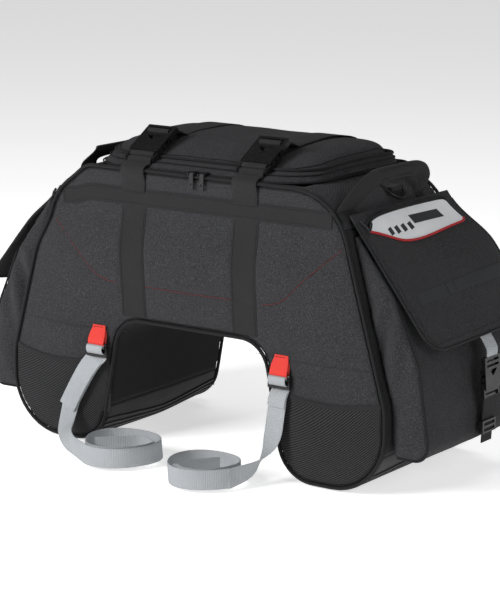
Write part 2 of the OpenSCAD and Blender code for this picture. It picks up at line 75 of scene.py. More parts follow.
PANEL_LOW, PANEL_HIGH = cad_mm("front_panel")
FRONT = PANEL_LOW[1]
REAR = -FRONT
DECK = PANEL_HIGH[2]
FLOOR = PANEL_LOW[2]
LID_LOW, LID_HIGH = cad_mm("lid_rim")
RIM_TOP = LID_HIGH[2]
STRAP_X = float(np.mean([cad_mm("latch_arm_right_inner")[0][0], cad_mm("latch_arm_right_outer")[1][0]]))
WIDE_WEB = 38.0
NARROW_WEB = 25.0
WEB_T = 1.6
PIPING_R = 2.3

# Outlines as corners (first coordinate, second coordinate, radius).
ARCH_HALF = 112.0
BODY_CORNERS = [
    (143, FLOOR, 50), (290, FLOOR, 75), (288, -60, 60), (216, DECK, 80),
    (-216, DECK, 80), (-288, -60, 60), (-290, FLOOR, 75), (-143, FLOOR, 50),
    (-ARCH_HALF, 0, 40), (ARCH_HALF, 0, 40),
]
SEAM_CORNERS = [(165, FRONT + 7, 55), (165, REAR - 9, 34), (-165, REAR - 9, 34), (-165, FRONT + 7, 55)]
RIM_CORNERS = [(160, LID_LOW[1], 48), (160, LID_HIGH[1], 26), (-160, LID_HIGH[1], 26), (-160, LID_LOW[1], 48)]
POCKET_CORNERS = [
    (290.6, -120, 3), (344, -121, 20), (327, -8, 60), (291.5, 70, 110), (228.8, 151, 1), (288.9, -60, 8)
]
BAND_Z = (150.0, 170.0)
LOBE_SEAM_Z = -13.0
TREAD_Z = -116.0
FRONT_TAB_X = 142
REAR_TAB_X = 168

# How far the fabric hangs away from the drawn shape.
LEFT_SAG = np.array([10.5, 0.0, -7.5])
REAR_SAG = np.array([-7.0, -4.0, -7.5])
REAR_PINCH = 9.0
REAR_LIFT = 7.0


# ---------------------------------------------------------------- curves and fields


def normed(v):
    return v / np.linalg.norm(v, axis=-1, keepdims=True)


def tangents(points):
    return normed(np.gradient(points, axis=0))


def lengths(points):
    """Length along a polyline at each of its points."""
    return np.concatenate([[0], np.cumsum(np.linalg.norm(np.diff(points, axis=0), axis=1))])


def turn_of(a, b):
    return a[0] * b[1] - a[1] * b[0]


def inset(corners, d):
    """Corners of an anticlockwise outline, moved inwards by d."""
    out = []
    for i, c in enumerate(corners):
        p = np.array(c[:2], float)
        a = normed(p - np.array(corners[i - 1][:2]))
        b = normed(np.array(corners[(i + 1) % len(corners)][:2]) - p)
        na, nb = np.array([-a[1], a[0]]), np.array([-b[1], b[0]])
        q = p + (na + nb) * d / (1 + na @ nb)
        out.append((q[0], q[1], max(c[2] - d * np.sign(turn_of(a, b)), 0.4)))
    return out


def rounded(corners, n=10):
    """Points of a closed outline whose corners are arcs."""
    out = []
    for i, (x, y, r) in enumerate(corners):
        p = np.array([x, y], float)
        u = normed(np.array(corners[i - 1][:2]) - p)
        v = normed(np.array(corners[(i + 1) % len(corners)][:2]) - p)
        half = math.acos(np.clip(u @ v, -1, 1)) / 2
        o = p + normed(u + v) * r / math.sin(half)
        s = p + u * r / math.tan(half) - o
        sweep = (math.pi - 2 * half) * np.sign(turn_of(s, -u))
        start = math.atan2(s[1], s[0])
        for a in start + sweep * np.arange(n + 1) / n:
            out.append(o + r * np.array([math.cos(a), math.sin(a)]))
    return np.array(out)


def resample(points, step=None, count=None, closed=False):
    """Evenly spaced points along a polyline of any dimension."""
    pts = np.asarray(points, float)
    if closed:
        pts = np.vstack([pts, pts[:1]])
    along = lengths(pts)
    if count is None:
        count = max(3, int(round(along[-1] / step)) + (0 if closed else 1))
    t = np.linspace(0, along[-1], count, endpoint=not closed)
    return np.stack([np.interp(t, along, pts[:, k]) for k in range(pts.shape[1])], axis=1)


def loop(corners, inward=0.0, step=None, count=None, arc=10):
    """Evenly spaced points round an outline, moved inwards."""
    return resample(rounded(inset(corners, inward), arc), step, count, closed=True)


def spline(points, per=8):
    """Catmull-Rom curve through points of any dimension."""
    pts = np.asarray(points, float)
    ctrl = np.vstack([2 * pts[:1] - pts[1:2], pts, 2 * pts[-1:] - pts[-2:-1]])
    out = []
    for i in range(1, len(ctrl) - 2):
        a, b, c, d = ctrl[i - 1:i + 3]
        for k in range(per):
            t = k / per
            out.append(0.5 * (2 * b + (c - a) * t + (2 * a - 5 * b + 4 * c - d) * t**2
                              + (3 * b - a - 3 * c + d) * t**3))
    return np.array(out + [pts[-1]])


def smoothstep(a, b, x):
    t = np.clip((np.asarray(x, float) - a) / (b - a), 0, 1)
    return t * t * (3 - 2 * t)


def slump(points):
    """The drawn points of the body, moved to where the soft bag hangs: shoulders down, rear lobes tucked in."""
    p = np.asarray(points, float)
    x, y, z = p[..., 0], p[..., 1], p[..., 2]
    shoulder = smoothstep(150, 200, np.abs(x)) * smoothstep(70, 140, z)
    left = shoulder * (x < 0) * smoothstep(60, -90, y)
    rear = shoulder * smoothstep(50, 115, y)
    out = p + left[..., None] * LEFT_SAG
    out = out + rear[..., None] * REAR_SAG * np.stack([np.sign(x), np.ones_like(x), np.ones_like(x)], -1)
    near = 1 - smoothstep(170, 230, np.abs(x))
    out[..., 1] -= smoothstep(90, 122, y) * smoothstep(10, -60, z) * near * REAR_PINCH
    out[..., 2] += smoothstep(10, 120, y) * smoothstep(-100, -160, z) * near * REAR_LIFT
    return out


def ripple(x, y, z, scale, seed):
    """Smooth repeatable noise between about -1 and 1 at a point."""
    return noise.noise(Vector((x / scale + seed, y / scale, z / scale)))


def nearest(targets, points):
    """Distance of plane points from the closest target."""
    tree = KDTree(len(targets))
    for i, p in enumerate(targets):
        tree.insert((p[0], p[1], 0), i)
    tree.balance()
    return np.array([tree.find((a, b, 0))[2] for a, b in points])


def edge_x(y, corners):
    """Half width of a rounded rectangle at y."""
    (half, low, r), high = corners[0], corners[1][1]
    over = np.maximum(0, np.abs(y - (low + high) / 2) - ((high - low) / 2 - r))
    return half - r + np.sqrt(np.maximum(r * r - over**2, 0))


# ---------------------------------------------------------------- materials


class Nodes:
    """A short way to write a node material."""

    def __init__(self, name):
        self.mat = bpy.data.materials.new(name)
        self.mat.use_nodes = True
        self.tree = self.mat.node_tree
        self.bsdf = self.tree.nodes["Principled BSDF"]

    def add(self, kind, inputs=None, **values):
        """A new node; inputs holds sockets or plain values by the name or number of the input."""
        node = self.tree.nodes.new("ShaderNode" + kind)
        for key, value in values.items():
            setattr(node, key, value)
        for key, value in (inputs or {}).items():
            self.set(node, key, value)
        return node

    def set(self, node, key, value):
        if hasattr(value, "is_output"):
            self.tree.links.new(value, node.inputs[key])
        else:
            node.inputs[key].default_value = value

    def finish(self, **values):
        """Sets the surface's inputs, with underscores for the spaces in their names."""
        for key, value in values.items():
            self.set(self.bsdf, key.replace("_", " "), value)
        return self.mat

    def math(self, operation, *values):
        return self.add("Math", dict(enumerate(values)), operation=operation).outputs[0]

    def spread(self, value, low, high, to_low=0.0, to_high=1.0):
        ends = {"Value": value, "From Min": low, "From Max": high, "To Min": to_low, "To Max": to_high}
        return self.add("MapRange", ends).outputs["Result"]

    def noise(self, vector, scale, detail=2.0, rough=0.5):
        return self.add("TexNoise", {"Vector": vector, "Scale": scale, "Detail": detail, "Roughness": rough}).outputs[0]

    def mix(self, factor, a, b):
        return self.add("Mix", {"Factor": factor, "A": a, "B": b}, data_type="RGBA").outputs["Result"]

    def bump(self, height, strength, distance, below=None):
        under = {} if below is None else {"Normal": below}
        ends = {"Height": height, "Strength": strength, "Distance": distance, **under}
        return self.add("Bump", ends).outputs["Normal"]


def shade(color, factor=1.0):
    return (color[0] * factor, color[1] * factor, color[2] * factor, 1.0)


def textile(name, color, rough=0.9, period=2.0, kind="plain", by_uv=False, strength=0.5, fleck=0.22, folds=0.25,
            sparkle=0.0):
    """Woven material. period is the pattern's repeat in millimetres; kind is plain, twill, rib or mesh."""
    n = Nodes(name)
    source = n.add("TexCoord").outputs["UV" if by_uv else "Object"]
    a, b, z = n.add("SeparateXYZ", {0: source}).outputs
    if not by_uv:
        a, b = n.math("ADD", a, b), n.math("MULTIPLY_ADD", n.math("SUBTRACT", a, b), 0.35, z)
    turns = 2 * math.pi / (period * MM)
    warp, weft = (n.math("SINE", n.math("MULTIPLY", t, turns)) for t in (a, b))
    if kind == "twill":
        height = n.math("SINE", n.math("MULTIPLY", n.math("ADD", a, b), turns))
    elif kind == "rib":
        height = n.math("MULTIPLY_ADD", weft, 0.15, warp)
    else:
        height = n.math("MULTIPLY", warp, weft)
    grain = n.noise(source, 620.0, 2.0, 0.7)
    mottle = n.noise(source, 17.0, 3.0, 0.55)
    wear = n.noise(source, 120.0, 3.0, 0.6)
    tint = n.mix(n.spread(grain, 0.3, 0.7), shade(color, 1 - fleck), shade(color, 1 + fleck))
    tint = n.mix(n.spread(height, -1.0, 1.0, 0.0, 0.55), tint, shade(color, 1 + fleck * 1.6))
    tint = n.mix(n.spread(mottle, 0.3, 0.75, 0.0, 0.35), tint, shade(color, 0.72))
    tint = n.mix(n.spread(wear, 0.66, 0.85, 0.0, 0.3), tint, shade(color, 1.7))
    if sparkle:
        # painted glints: tiny specks of reflected light painted into the base colour as bright flecks
        glint = n.spread(n.noise(source, 720.0, 1.0, 0.4), 0.48, 0.64, 0.0, sparkle)
        tint = n.mix(glint, tint, shade(color, 3.4))
    if kind == "mesh":
        # the mesh's holes are painted near black: partly the dark panel seen through them, partly painted shade inside
        # the holes
        hole = n.spread(height, -0.25, 0.1)
        tint = n.mix(hole, tint, shade(color, 0.08))
        height = n.math("MULTIPLY", hole, -1.0)
    soft = n.bump(n.noise(source, 28.0, 3.0, 0.5), folds, 0.004)
    return n.finish(
        Base_Color=tint, Roughness=n.spread(grain, 0.3, 0.7, rough - 0.08, min(rough + 0.06, 1.0)),
        Sheen_Weight=0.03, Sheen_Roughness=0.5, Specular_IOR_Level=0.16,
        Normal=n.bump(n.math("ADD", height, grain), strength, 0.0003, soft))


def moulded(name, color, rough=0.35, grain=0.12, scale=900.0, metallic=0.0):
    """Plastic, rubber, foam or coated metal, with faint moulding grain, scuffs and uneven gloss."""
    n = Nodes(name)
    source = n.add("TexCoord").outputs["Object"]
    scuff = n.noise(source, 90.0, 4.0, 0.65)
    return n.finish(
        Base_Color=n.mix(n.spread(scuff, 0.6, 0.8, 0.0, 0.5), shade(color), shade(color, 2.4)),
        Roughness=n.spread(scuff, 0.35, 0.75, rough - 0.06, rough + 0.18), Metallic=metallic,
        Specular_IOR_Level=0.32, Normal=n.bump(n.noise(source, scale, 2.0), grain, 0.0002))


def paper(name):
    """Nearly even white, for the floor."""
    n = Nodes(name)
    mottle = n.noise(n.add("TexCoord").outputs["Object"], 3.0, 2.0)
    return n.finish(
        Base_Color=n.mix(n.spread(mottle, 0.3, 0.7), (0.9, 0.9, 0.9, 1.0), (0.93, 0.93, 0.93, 1.0)),
        Roughness=0.95, Specular_IOR_Level=0.1, Emission_Color=(1, 1, 1, 1), Emission_Strength=0.62)


RIBBED = {"kind": "rib", "by_uv": True}
THREAD = {"rough": 0.6, "period": 0.8, "by_uv": True, "fleck": 0.1}
PRINT = {"rough": 0.5, "period": 1.2, "fleck": 0.1}
TEXTILES = {
    "shell_fabric": ((0.019, 0.019, 0.0205), dict(period=2.3, kind="twill", strength=0.7, fleck=0.6, sparkle=0.5)),
    "side_fabric": ((0.011, 0.011, 0.012), dict(period=2.3, kind="twill", strength=0.6, fleck=0.5, sparkle=0.4)),
    "tread_fabric": ((0.012, 0.012, 0.013), dict(rough=0.55, period=3.0, strength=0.3)),
    "grip_fabric": ((0.008, 0.008, 0.009), dict(period=1.8, strength=0.35)),
    "webbing": ((0.018, 0.018, 0.019), dict(period=2.6, kind="twill", by_uv=True, strength=0.6)),
    "grey_webbing": ((0.33, 0.345, 0.36), dict(rough=0.75, period=2.2, strength=0.6, fleck=0.10, folds=0.1, **RIBBED)),
    "red_webbing": ((0.62, 0.045, 0.035), dict(rough=0.7, period=1.8, by_uv=True, fleck=0.12)),
    "piping": ((0.009, 0.009, 0.010), dict(rough=0.7, period=1.6, folds=0.1, **RIBBED)),
    "mesh": ((0.040, 0.040, 0.042), dict(period=3.4, kind="mesh", strength=0.8)),
    "zip_tape": ((0.009, 0.009, 0.010), dict(rough=0.8, period=1.4, **RIBBED)),
    "reflective": ((0.74, 0.76, 0.78), dict(rough=0.38, period=1.2, strength=0.12, fleck=0.05, folds=0.35)),
    "lining_fabric": ((0.20, 0.21, 0.23), dict(rough=0.7, period=2.0, strength=0.3)),
    "red_cord": ((0.42, 0.022, 0.026), dict(rough=0.55, period=1.6, fleck=0.1, **RIBBED)),
    "red_thread": ((0.16, 0.016, 0.018), THREAD),
    "dark_thread": ((0.018, 0.018, 0.019), THREAD),
    "grey_reflective": ((0.034, 0.035, 0.037), dict(strength=0.15, **PRINT)),
    "window_print": ((0.035, 0.036, 0.04), dict(strength=0.12, **PRINT)),
}
MOULDED = {
    "buckle_plastic": ((0.009, 0.009, 0.0095), dict(rough=0.24)),
    "ring_metal": ((0.02, 0.02, 0.021), dict(rough=0.3, metallic=0.6)),
    "slider_metal": ((0.02, 0.02, 0.021), dict(rough=0.3, metallic=0.6)),
    "pull_rubber": ((0.012, 0.012, 0.013), dict(rough=0.5, grain=0.3)),
    "foam": ((0.09, 0.10, 0.11), dict(rough=0.8, grain=0.9, scale=500.0)),
    "board": ((0.015, 0.015, 0.015), dict(rough=0.6)),
}
MATERIALS = {name: textile(name, color, **options) for name, (color, options) in TEXTILES.items()}
MATERIALS.update({name: moulded(name, color, **options) for name, (color, options) in MOULDED.items()})
MATERIALS["floor_paper"] = paper("floor_paper")


# ---------------------------------------------------------------- meshes


def new_object(name, verts, faces, slot, uv=None, angle=45.0, look=None):
    """A mesh object from points in millimetres, in a material slot; look names a different material."""
    mesh = bpy.data.meshes.new(name)
    mesh.from_pydata((np.asarray(verts, float) * MM).tolist(), [], [list(map(int, f)) for f in faces])
    mesh.update()
    if uv is not None:
        layer = mesh.uv_layers.new(name="UVMap")
        index = np.zeros(len(mesh.loops), int)
        mesh.loops.foreach_get("vertex_index", index)
        layer.data.foreach_set("uv", (np.asarray(uv, float)[index] * MM).ravel())
    mesh.shade_smooth()
    if angle is not None:
        mesh.set_sharp_from_angle(angle=math.radians(angle))
    mesh.materials.append(MATERIALS[look or slot])
    obj = bpy.data.objects.new(name, mesh)
    bpy.context.scene.collection.objects.link(obj)
    return obj


def on(body, piece, *nodes):
    """The piece rides on a body and stands for the CAD nodes."""
    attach(piece, body)
    return stand_for(piece, nodes)


def across_joint(piece, a, b, start, end, *nodes):
    """Bakes the piece's place into its mesh and hides the nodes that it stands for; a, b, start and end are not used.
    """
    tuple(v * MM for v in start)
    tuple(v * MM for v in end)
    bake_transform(piece)
    return stand_for(piece, nodes)


def stand_for(piece, nodes):
    if nodes:
        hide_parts(*nodes)
    return piece


def joined(parts):
    """One (verts, faces, uv) from several."""
    verts, faces, uvs, base = [], [], [], 0
    for v, f, uv in parts:
        verts.append(v)
        uvs.append(uv)
        faces += [[i + base for i in face] for face in f]
        base += len(v)
    return np.vstack(verts), faces, np.vstack(uvs)


def grid_slab(top, bottom):
    """A closed slab between two grids of points (rows, columns, 3): verts, faces and uv."""
    nu, nv = top.shape[:2]
    base = nu * nv
    faces = []
    for i in range(nu - 1):
        for a in range(i * nv, i * nv + nv - 1):
            faces.append([a, a + nv, a + nv + 1, a + 1])
            faces.append([base + a + 1, base + a + nv + 1, base + a + nv, base + a])
    rim = [i * nv for i in range(nu)] + [(nu - 1) * nv + j for j in range(1, nv)]
    rim += [i * nv + nv - 1 for i in range(nu - 2, -1, -1)] + list(range(nv - 2, 0, -1))
    faces += [[b, a, base + a, base + b] for a, b in zip(rim, rim[1:] + rim[:1])]
    across = np.linalg.norm(top - top[:, :1], axis=2)
    uv = np.stack([np.repeat(lengths(top[:, nv // 2])[:, None], nv, 1), across], axis=2).reshape(-1, 2)
    return np.vstack([top.reshape(-1, 3), bottom.reshape(-1, 3)]), faces, np.vstack([uv, uv])


def with_slot(parts, slot):
    """Reorders verts, faces and uv for new_object."""
    verts, faces, uv = parts
    return verts, faces, slot, uv


def sheet(name, top, bottom, slot, mirrored=False, angle=45.0, look=None):
    """A thin piece between two grids of points. A mirrored one is turned the right way out again."""
    if mirrored:
        top, bottom = top[:, ::-1], bottom[:, ::-1]
    return new_object(name, *with_slot(grid_slab(top, bottom), slot), angle, look)


def ribbon(name, points, wide, width, slot):
    """Webbing along points. wide is the direction that its width lies in; both may change from point to point."""
    pts = np.asarray(points, float)
    along = tangents(pts)
    wide = np.broadcast_to(np.asarray(wide, float), pts.shape)
    wide = normed(wide - (wide * along).sum(1)[:, None] * along)
    across = np.array([-0.5, -0.47, -0.25, 0.0, 0.25, 0.47, 0.5]) * np.broadcast_to(width, len(pts))[:, None]
    rise = WEB_T / 2 * np.array([0.55, 1, 1, 1, 1, 1, 0.55])
    centre = pts[:, None] + wide[:, None] * across[:, :, None]
    lift = np.cross(wide, along)[:, None] * rise[None, :, None]
    return sheet(name, centre + lift, centre - lift, slot)


def tube_parts(points, radius, closed=False, sides=8):
    """A round cord along points: verts, faces and uv."""
    pts = np.asarray(points, float)
    n = len(pts)
    along = normed(np.roll(pts, -1, 0) - np.roll(pts, 1, 0)) if closed else tangents(pts)
    normal = normed(np.cross(along[0], [0.13, 0.31, 0.94]))
    length = lengths(pts)
    verts, uv = [], []
    for i, t in enumerate(along):
        normal = normed(normal - (normal @ t) * t)
        other = np.cross(t, normal)
        for a in 2 * math.pi * np.arange(sides) / sides:
            verts.append(pts[i] + radius * (math.cos(a) * normal + math.sin(a) * other))
            uv.append((length[i], radius * a))
    faces = []
    for i in range(n if closed else n - 1):
        j = (i + 1) % n
        for k in range(sides):
            m = (k + 1) % sides
            faces.append([i * sides + k, i * sides + m, j * sides + m, j * sides + k])
    if not closed:
        faces.append(list(range(sides))[::-1])
        faces.append([(n - 1) * sides + k for k in range(sides)])
    return np.array(verts), faces, np.array(uv)


def tube(name, points, radius, slot, closed=False, sides=8, look=None):
    return new_object(name, *with_slot(tube_parts(points, radius, closed, sides), slot), None, look)


def stitches(name, lines, look="dark_thread", radius=0.3, slot="webbing", pitch=4.2):
    """Rows of thread along lines that lie on a surface."""
    parts = []
    for line in lines:
        count = max(1, int(lengths(line)[-1] / pitch))
        fine = resample(line, count=count * 6 + 1)
        parts += [tube_parts(fine[k * 6:k * 6 + 5], radius, sides=4) for k in range(count)]
    return new_object(name, *with_slot(joined(parts), slot), None, look)


def draped(name, path, width, project, slot, thick=WEB_T, across=7, step=5.0):
    """Webbing laid on a surface. path is in the surface's own coordinates; project(a, b, off) gives a point."""
    line = resample(path, step=step)
    along = tangents(line)
    side = np.stack([along[:, 1], -along[:, 0]], axis=1)
    places = line[:, None] + side[:, None] * np.linspace(-width / 2, width / 2, across)[None, :, None]
    edges = [0.55 if j in (0, across - 1) else 1.0 for j in range(across)]
    top = np.array([[project(a, b, thick * edge) for (a, b), edge in zip(row, edges)] for row in places])
    bottom = np.array([[project(a, b, -0.4) for a, b in row] for row in places])
    return sheet(name, top, bottom, slot)


def prism(name, outline, low, high, place, rings, slot="shell_fabric"):
    """A closed solid swept between two levels; place(point, level) gives the corner in space."""
    n = len(outline)
    verts = [place(p, level) for level in np.linspace(low, high, rings) for p in outline]
    faces = [list(range(n))[::-1], [(rings - 1) * n + k for k in range(n)]]
    for r in range(rings - 1):
        for k in range(n):
            m = (k + 1) % n
            faces.append([r * n + k, r * n + m, (r + 1) * n + m, (r + 1) * n + k])
    return new_object(name, np.array(verts), faces, slot)


def ring_band(name, lower, upper, slot, thick, rows, bow=0.0):
    """A closed strip between two loops of points, with a wall inwards."""
    n = len(lower)
    t = np.linspace(0, 1, rows)[:, None, None]
    face = lower[None] * (1 - t) + upper[None] * t
    normal = normed(np.cross(np.roll(face, -1, 1) - np.roll(face, 1, 1), (upper - lower)[None]))
    face = face + normal * bow * (1 - (2 * t - 1) ** 2)
    verts = np.vstack([face.reshape(-1, 3), (face - normal * thick).reshape(-1, 3)])
    base, last = rows * n, (rows - 1) * n
    faces = []
    for i in range(rows - 1):
        for k in range(n):
            m = (k + 1) % n
            quad = [i * n + k, i * n + m, (i + 1) * n + m, (i + 1) * n + k]
            faces += [quad, [base + v for v in reversed(quad)]]
    for k in range(n):
        m = (k + 1) % n
        faces.append([m, k, base + k, base + m])
        faces.append([last + k, last + m, base + last + m, base + last + k])
    uv = np.stack([np.tile(lengths(lower), rows), np.repeat(np.arange(rows) * 4.0, n)], axis=1)
    return new_object(name, verts, faces, slot, np.vstack([uv, uv]))


def rounded_grid(corners, nu, nv):
    """XY grid that fills a rounded rectangle, denser towards its front and rear."""
    low, high = corners[0][1], corners[1][1]
    u = np.linspace(-1, 1, nu)
    v = np.sin(np.linspace(-1, 1, nv) * math.pi / 2) * 0.5 + np.linspace(-1, 1, nv) * 0.5
    y = (high + low) / 2 + v * (high - low) / 2
    x = np.array([u * edge_x(t, corners) for t in y])
    return np.stack([x, np.repeat(y[:, None], nu, 1)], axis=2)


def raised(grid, height):
    """XY points of any stack, with height(x, y) as their Z."""
    z = [height(x, y) for x, y in grid.reshape(-1, 2)]
    return np.concatenate([grid, np.array(z).reshape(*grid.shape[:-1], 1)], axis=-1)


# ---------------------------------------------------------------- padded cloth


def read(mesh, what):
    """The vertices' co or normal."""
    values = np.zeros(len(mesh.vertices) * 3)
    mesh.vertices.foreach_get(what, values)
    return values.reshape(-1, 3)


def points_of(mesh):
    return read(mesh, "co") / MM


def set_points(mesh, points):
    mesh.vertices.foreach_set("co", (points * MM).ravel())
    mesh.update()


def face_centres(mesh, points):
    return np.array([points[list(p.vertices)].mean(0) for p in mesh.polygons])


def evaluated_mesh(obj):
    graph = bpy.context.evaluated_depsgraph_get()
    return bpy.data.meshes.new_from_object(obj.evaluated_get(graph), depsgraph=graph)


def remeshed(obj, voxel):
    """Replaces obj's mesh with an even one, and gives its points."""
    mod = obj.modifiers.new("Remesh", "REMESH")
    mod.mode = "VOXEL"
    mod.voxel_size = voxel * MM
    mesh = evaluated_mesh(obj)
    obj.modifiers.clear()
    obj.data = mesh
    return points_of(mesh)


def inflate(obj, pins, cap, pressure, frames=20, stiffness=12.0):
    """Blows a closed cloth up from its rest shape. pins holds a weight per point: 1 keeps it still."""
    rest = points_of(obj.data)
    group = obj.vertex_groups.new(name="pin")
    for weight in np.unique(np.round(pins, 1)):
        if weight > 0:
            group.add(np.flatnonzero(np.round(pins, 1) == weight).tolist(), float(weight), "REPLACE")
    mod = obj.modifiers.new("Cloth", "CLOTH")
    cloth = mod.settings
    cloth.quality = 4
    cloth.mass = 0.25
    cloth.tension_stiffness = stiffness
    cloth.compression_stiffness = stiffness
    cloth.shear_stiffness = stiffness / 2
    cloth.bending_stiffness = 0.6
    cloth.use_pressure = True
    cloth.uniform_pressure_force = pressure
    cloth.vertex_group_mass = "pin"
    cloth.effector_weights.gravity = 0
    mod.point_cache.frame_start = 1
    mod.point_cache.frame_end = frames
    for f in range(1, frames + 1):
        bpy.context.scene.frame_set(f)
    moved = points_of(evaluated_mesh(obj)) - rest
    obj.modifiers.clear()
    obj.vertex_groups.clear()
    bpy.context.scene.frame_set(1)
    size = np.linalg.norm(moved, axis=1)
    scale = cap * np.tanh(size / cap) / np.maximum(size, 1e-6)
    set_points(obj.data, rest + moved * scale[:, None])


def split(obj, classes, parts, wall=2.0):
    """Cuts obj by the numbers that classes gives its faces. parts has each number's name and slot, and each
    piece gets a wall inwards."""
    points, normals = points_of(obj.data), read(obj.data, "normal")
    polys = [tuple(p.vertices) for p in obj.data.polygons]
    out = []
    for key, (name, slot) in parts.items():
        chosen = [polys[i] for i in np.flatnonzero(classes == key)]
        used = np.unique(np.concatenate(chosen))
        count = len(used)
        index = {v: i for i, v in enumerate(used)}
        faces = [[index[v] for v in p] for p in chosen]
        edges = dict.fromkeys(edge for f in faces for edge in zip(f, f[1:] + f[:1]))
        inner = [[i + count for i in reversed(f)] for f in faces]
        walls = [[b, a, a + count, b + count] for a, b in edges if (b, a) not in edges]
        verts = np.vstack([points[used], points[used] - normals[used] * wall])
        out.append(new_object(name, verts, faces + inner + walls, slot, angle=None))
    bpy.data.objects.remove(obj)
    return out


# ---------------------------------------------------------------- body shell

BODY_VOXEL = 5.5
BODY_BULGE = 9.0
SEAM_PINCH = 1.1
(FRONT_CLASS, REAR_CLASS, DECK_CLASS, LEFT_CLASS, RIGHT_CLASS, TUNNEL_CLASS, TREAD_CLASS, CUT_CLASS) = range(8)
PANELS = {
    FRONT_CLASS: ("front_shell", "shell_fabric"), REAR_CLASS: ("rear_shell", "shell_fabric"),
    DECK_CLASS: ("deck_shell", "shell_fabric"), LEFT_CLASS: ("side_shell_left", "side_fabric"),
    RIGHT_CLASS: ("side_shell_right", "side_fabric"), TUNNEL_CLASS: ("tunnel_shell", "grip_fabric"),
    TREAD_CLASS: ("tread_shell", "tread_fabric"),
}
PANEL_NODES = ("front_panel", "rear_panel", "top_deck", "side_panels", "side_panels", "tunnel_panel", "tread_panels")
MIRROR = np.array([-1, 1])


def seam_points():
    """Seams that pinch the front panel, in X and Z. The rear panel has the same ones."""
    stitch = spline([(114, 48), (129, 50), (142, 55), (156, 66), (179, 88), (226, 128)])
    lobe = spline([(100, LOBE_SEAM_Z), (180, LOBE_SEAM_Z - 1), (272, LOBE_SEAM_Z)])
    return stitch, lobe


def build_body():
    """The inflated block of the body, and its points as drawn."""
    body = prism("body", loop(BODY_CORNERS, step=6.0), FRONT, REAR, lambda p, y: (p[0], y, p[1]), 30)
    co = remeshed(body, BODY_VOXEL)
    x, y, z = co.T
    edge = nearest(resample(rounded(BODY_CORNERS), step=2.0, closed=True), co[:, [0, 2]])
    face = np.where(y < FRONT + 4, -1, np.where(y > REAR - 4, 1, 0))
    slack = 1 - smoothstep(BAND_Z[0] - 60, BAND_Z[0] + 2, z)
    stitch, lobe = seam_points()
    arch = [(t, 48) for t in range(-112, 113, 6)]
    seam = nearest(np.vstack([stitch, stitch * MIRROR, lobe, lobe * MIRROR, arch]), np.stack([x, z], 1))
    strap = (np.abs(np.abs(x) - STRAP_X) < WIDE_WEB / 2) & (z > 5) & (z < BAND_Z[1])
    swell = BODY_BULGE * (1 - np.exp(-edge / 42)) * slack * (1 - 0.25 * strap)
    co[:, 1] += face * swell
    wrinkle = np.array([ripple(a * 0.5, b, c * 1.3, 70, 3.0) for a, b, c in co])
    co[:, 1] += face * 2.0 * wrinkle * np.clip(edge / 30, 0, 1) * slack
    set_points(body.data, slump(co))
    pins = np.where((face == 0) | (edge < 7), 1.0, 0.0)
    pins = np.where((face != 0) & strap, 0.8, pins)
    pins = np.where((face != 0) & (z > BAND_Z[0] - 4) & (z < BAND_Z[1] + 4), 0.9, pins)
    pins = np.where((face != 0) & (seam < 4), np.maximum(pins, 0.6), pins)
    inflate(body, pins, 7.0, 3.0)
    moved = points_of(body.data)
    moved[:, 1] -= face * SEAM_PINCH * np.exp(-(seam / 3.5) ** 2)
    set_points(body.data, moved)
    return body, co


def classify_body(body, drawn):
    """Numbers the body's faces by the fabric panel that they belong to."""
    x, y, z = face_centres(body.data, drawn).T
    classes = np.where(x > 0, RIGHT_CLASS, LEFT_CLASS)
    classes = np.where((np.abs(x) < 160) & (z < 30), TUNNEL_CLASS, classes)
    classes = np.where(z < TREAD_Z, TREAD_CLASS, classes)
    classes = np.where(z > BAND_Z[0], DECK_CLASS, classes)
    classes = np.where(y < FRONT + 2.6, FRONT_CLASS, classes)
    classes = np.where(y > REAR - 2.6, REAR_CLASS, classes)
    mouth = rounded(inset(SEAM_CORNERS, 5))
    inside = (np.abs(x) < mouth[:, 0].max()) & (y > mouth[:, 1].min()) & (y < mouth[:, 1].max())
    return np.where((classes == DECK_CLASS) & inside & (z > DECK - 12), CUT_CLASS, classes)


def body_pieces():
    body, drawn = build_body()
    pieces = split(body, classify_body(body, drawn), PANELS)
    for piece, node in zip(pieces, PANEL_NODES):
        on("bag", piece, node)
    return pieces


def skin_of(*objects):
    """The surface of finished pieces, in millimetres."""
    parts = [(points_of(o.data), [tuple(p.vertices) for p in o.data.polygons], points_of(o.data)) for o in objects]
    verts, faces, _ = joined(parts)
    return BVHTree.FromPolygons(verts.tolist(), faces)


SKIN = skin_of(*body_pieces()[:2])


def on_skin(x, z, off=0.0, face=-1):
    """The point on the front panel (face -1) or rear panel (face 1) at x and z, standing off by off."""
    hit = SKIN.ray_cast(Vector((x, face * 400, z)), Vector((0, -face, 0)))[0]
    p = np.array((x, face * REAR, z) if hit is None else hit, float)
    return p + np.array([0, face * off, 0])


# ---------------------------------------------------------------- trim on the front and rear panels


def on_panel(face):
    """A projector for trim drawn in X and Z, which sags with the panel."""
    def project(x, z, off):
        p = slump(np.array([x, face * REAR, z]))
        return on_skin(p[0], p[2], off, face)
    return project


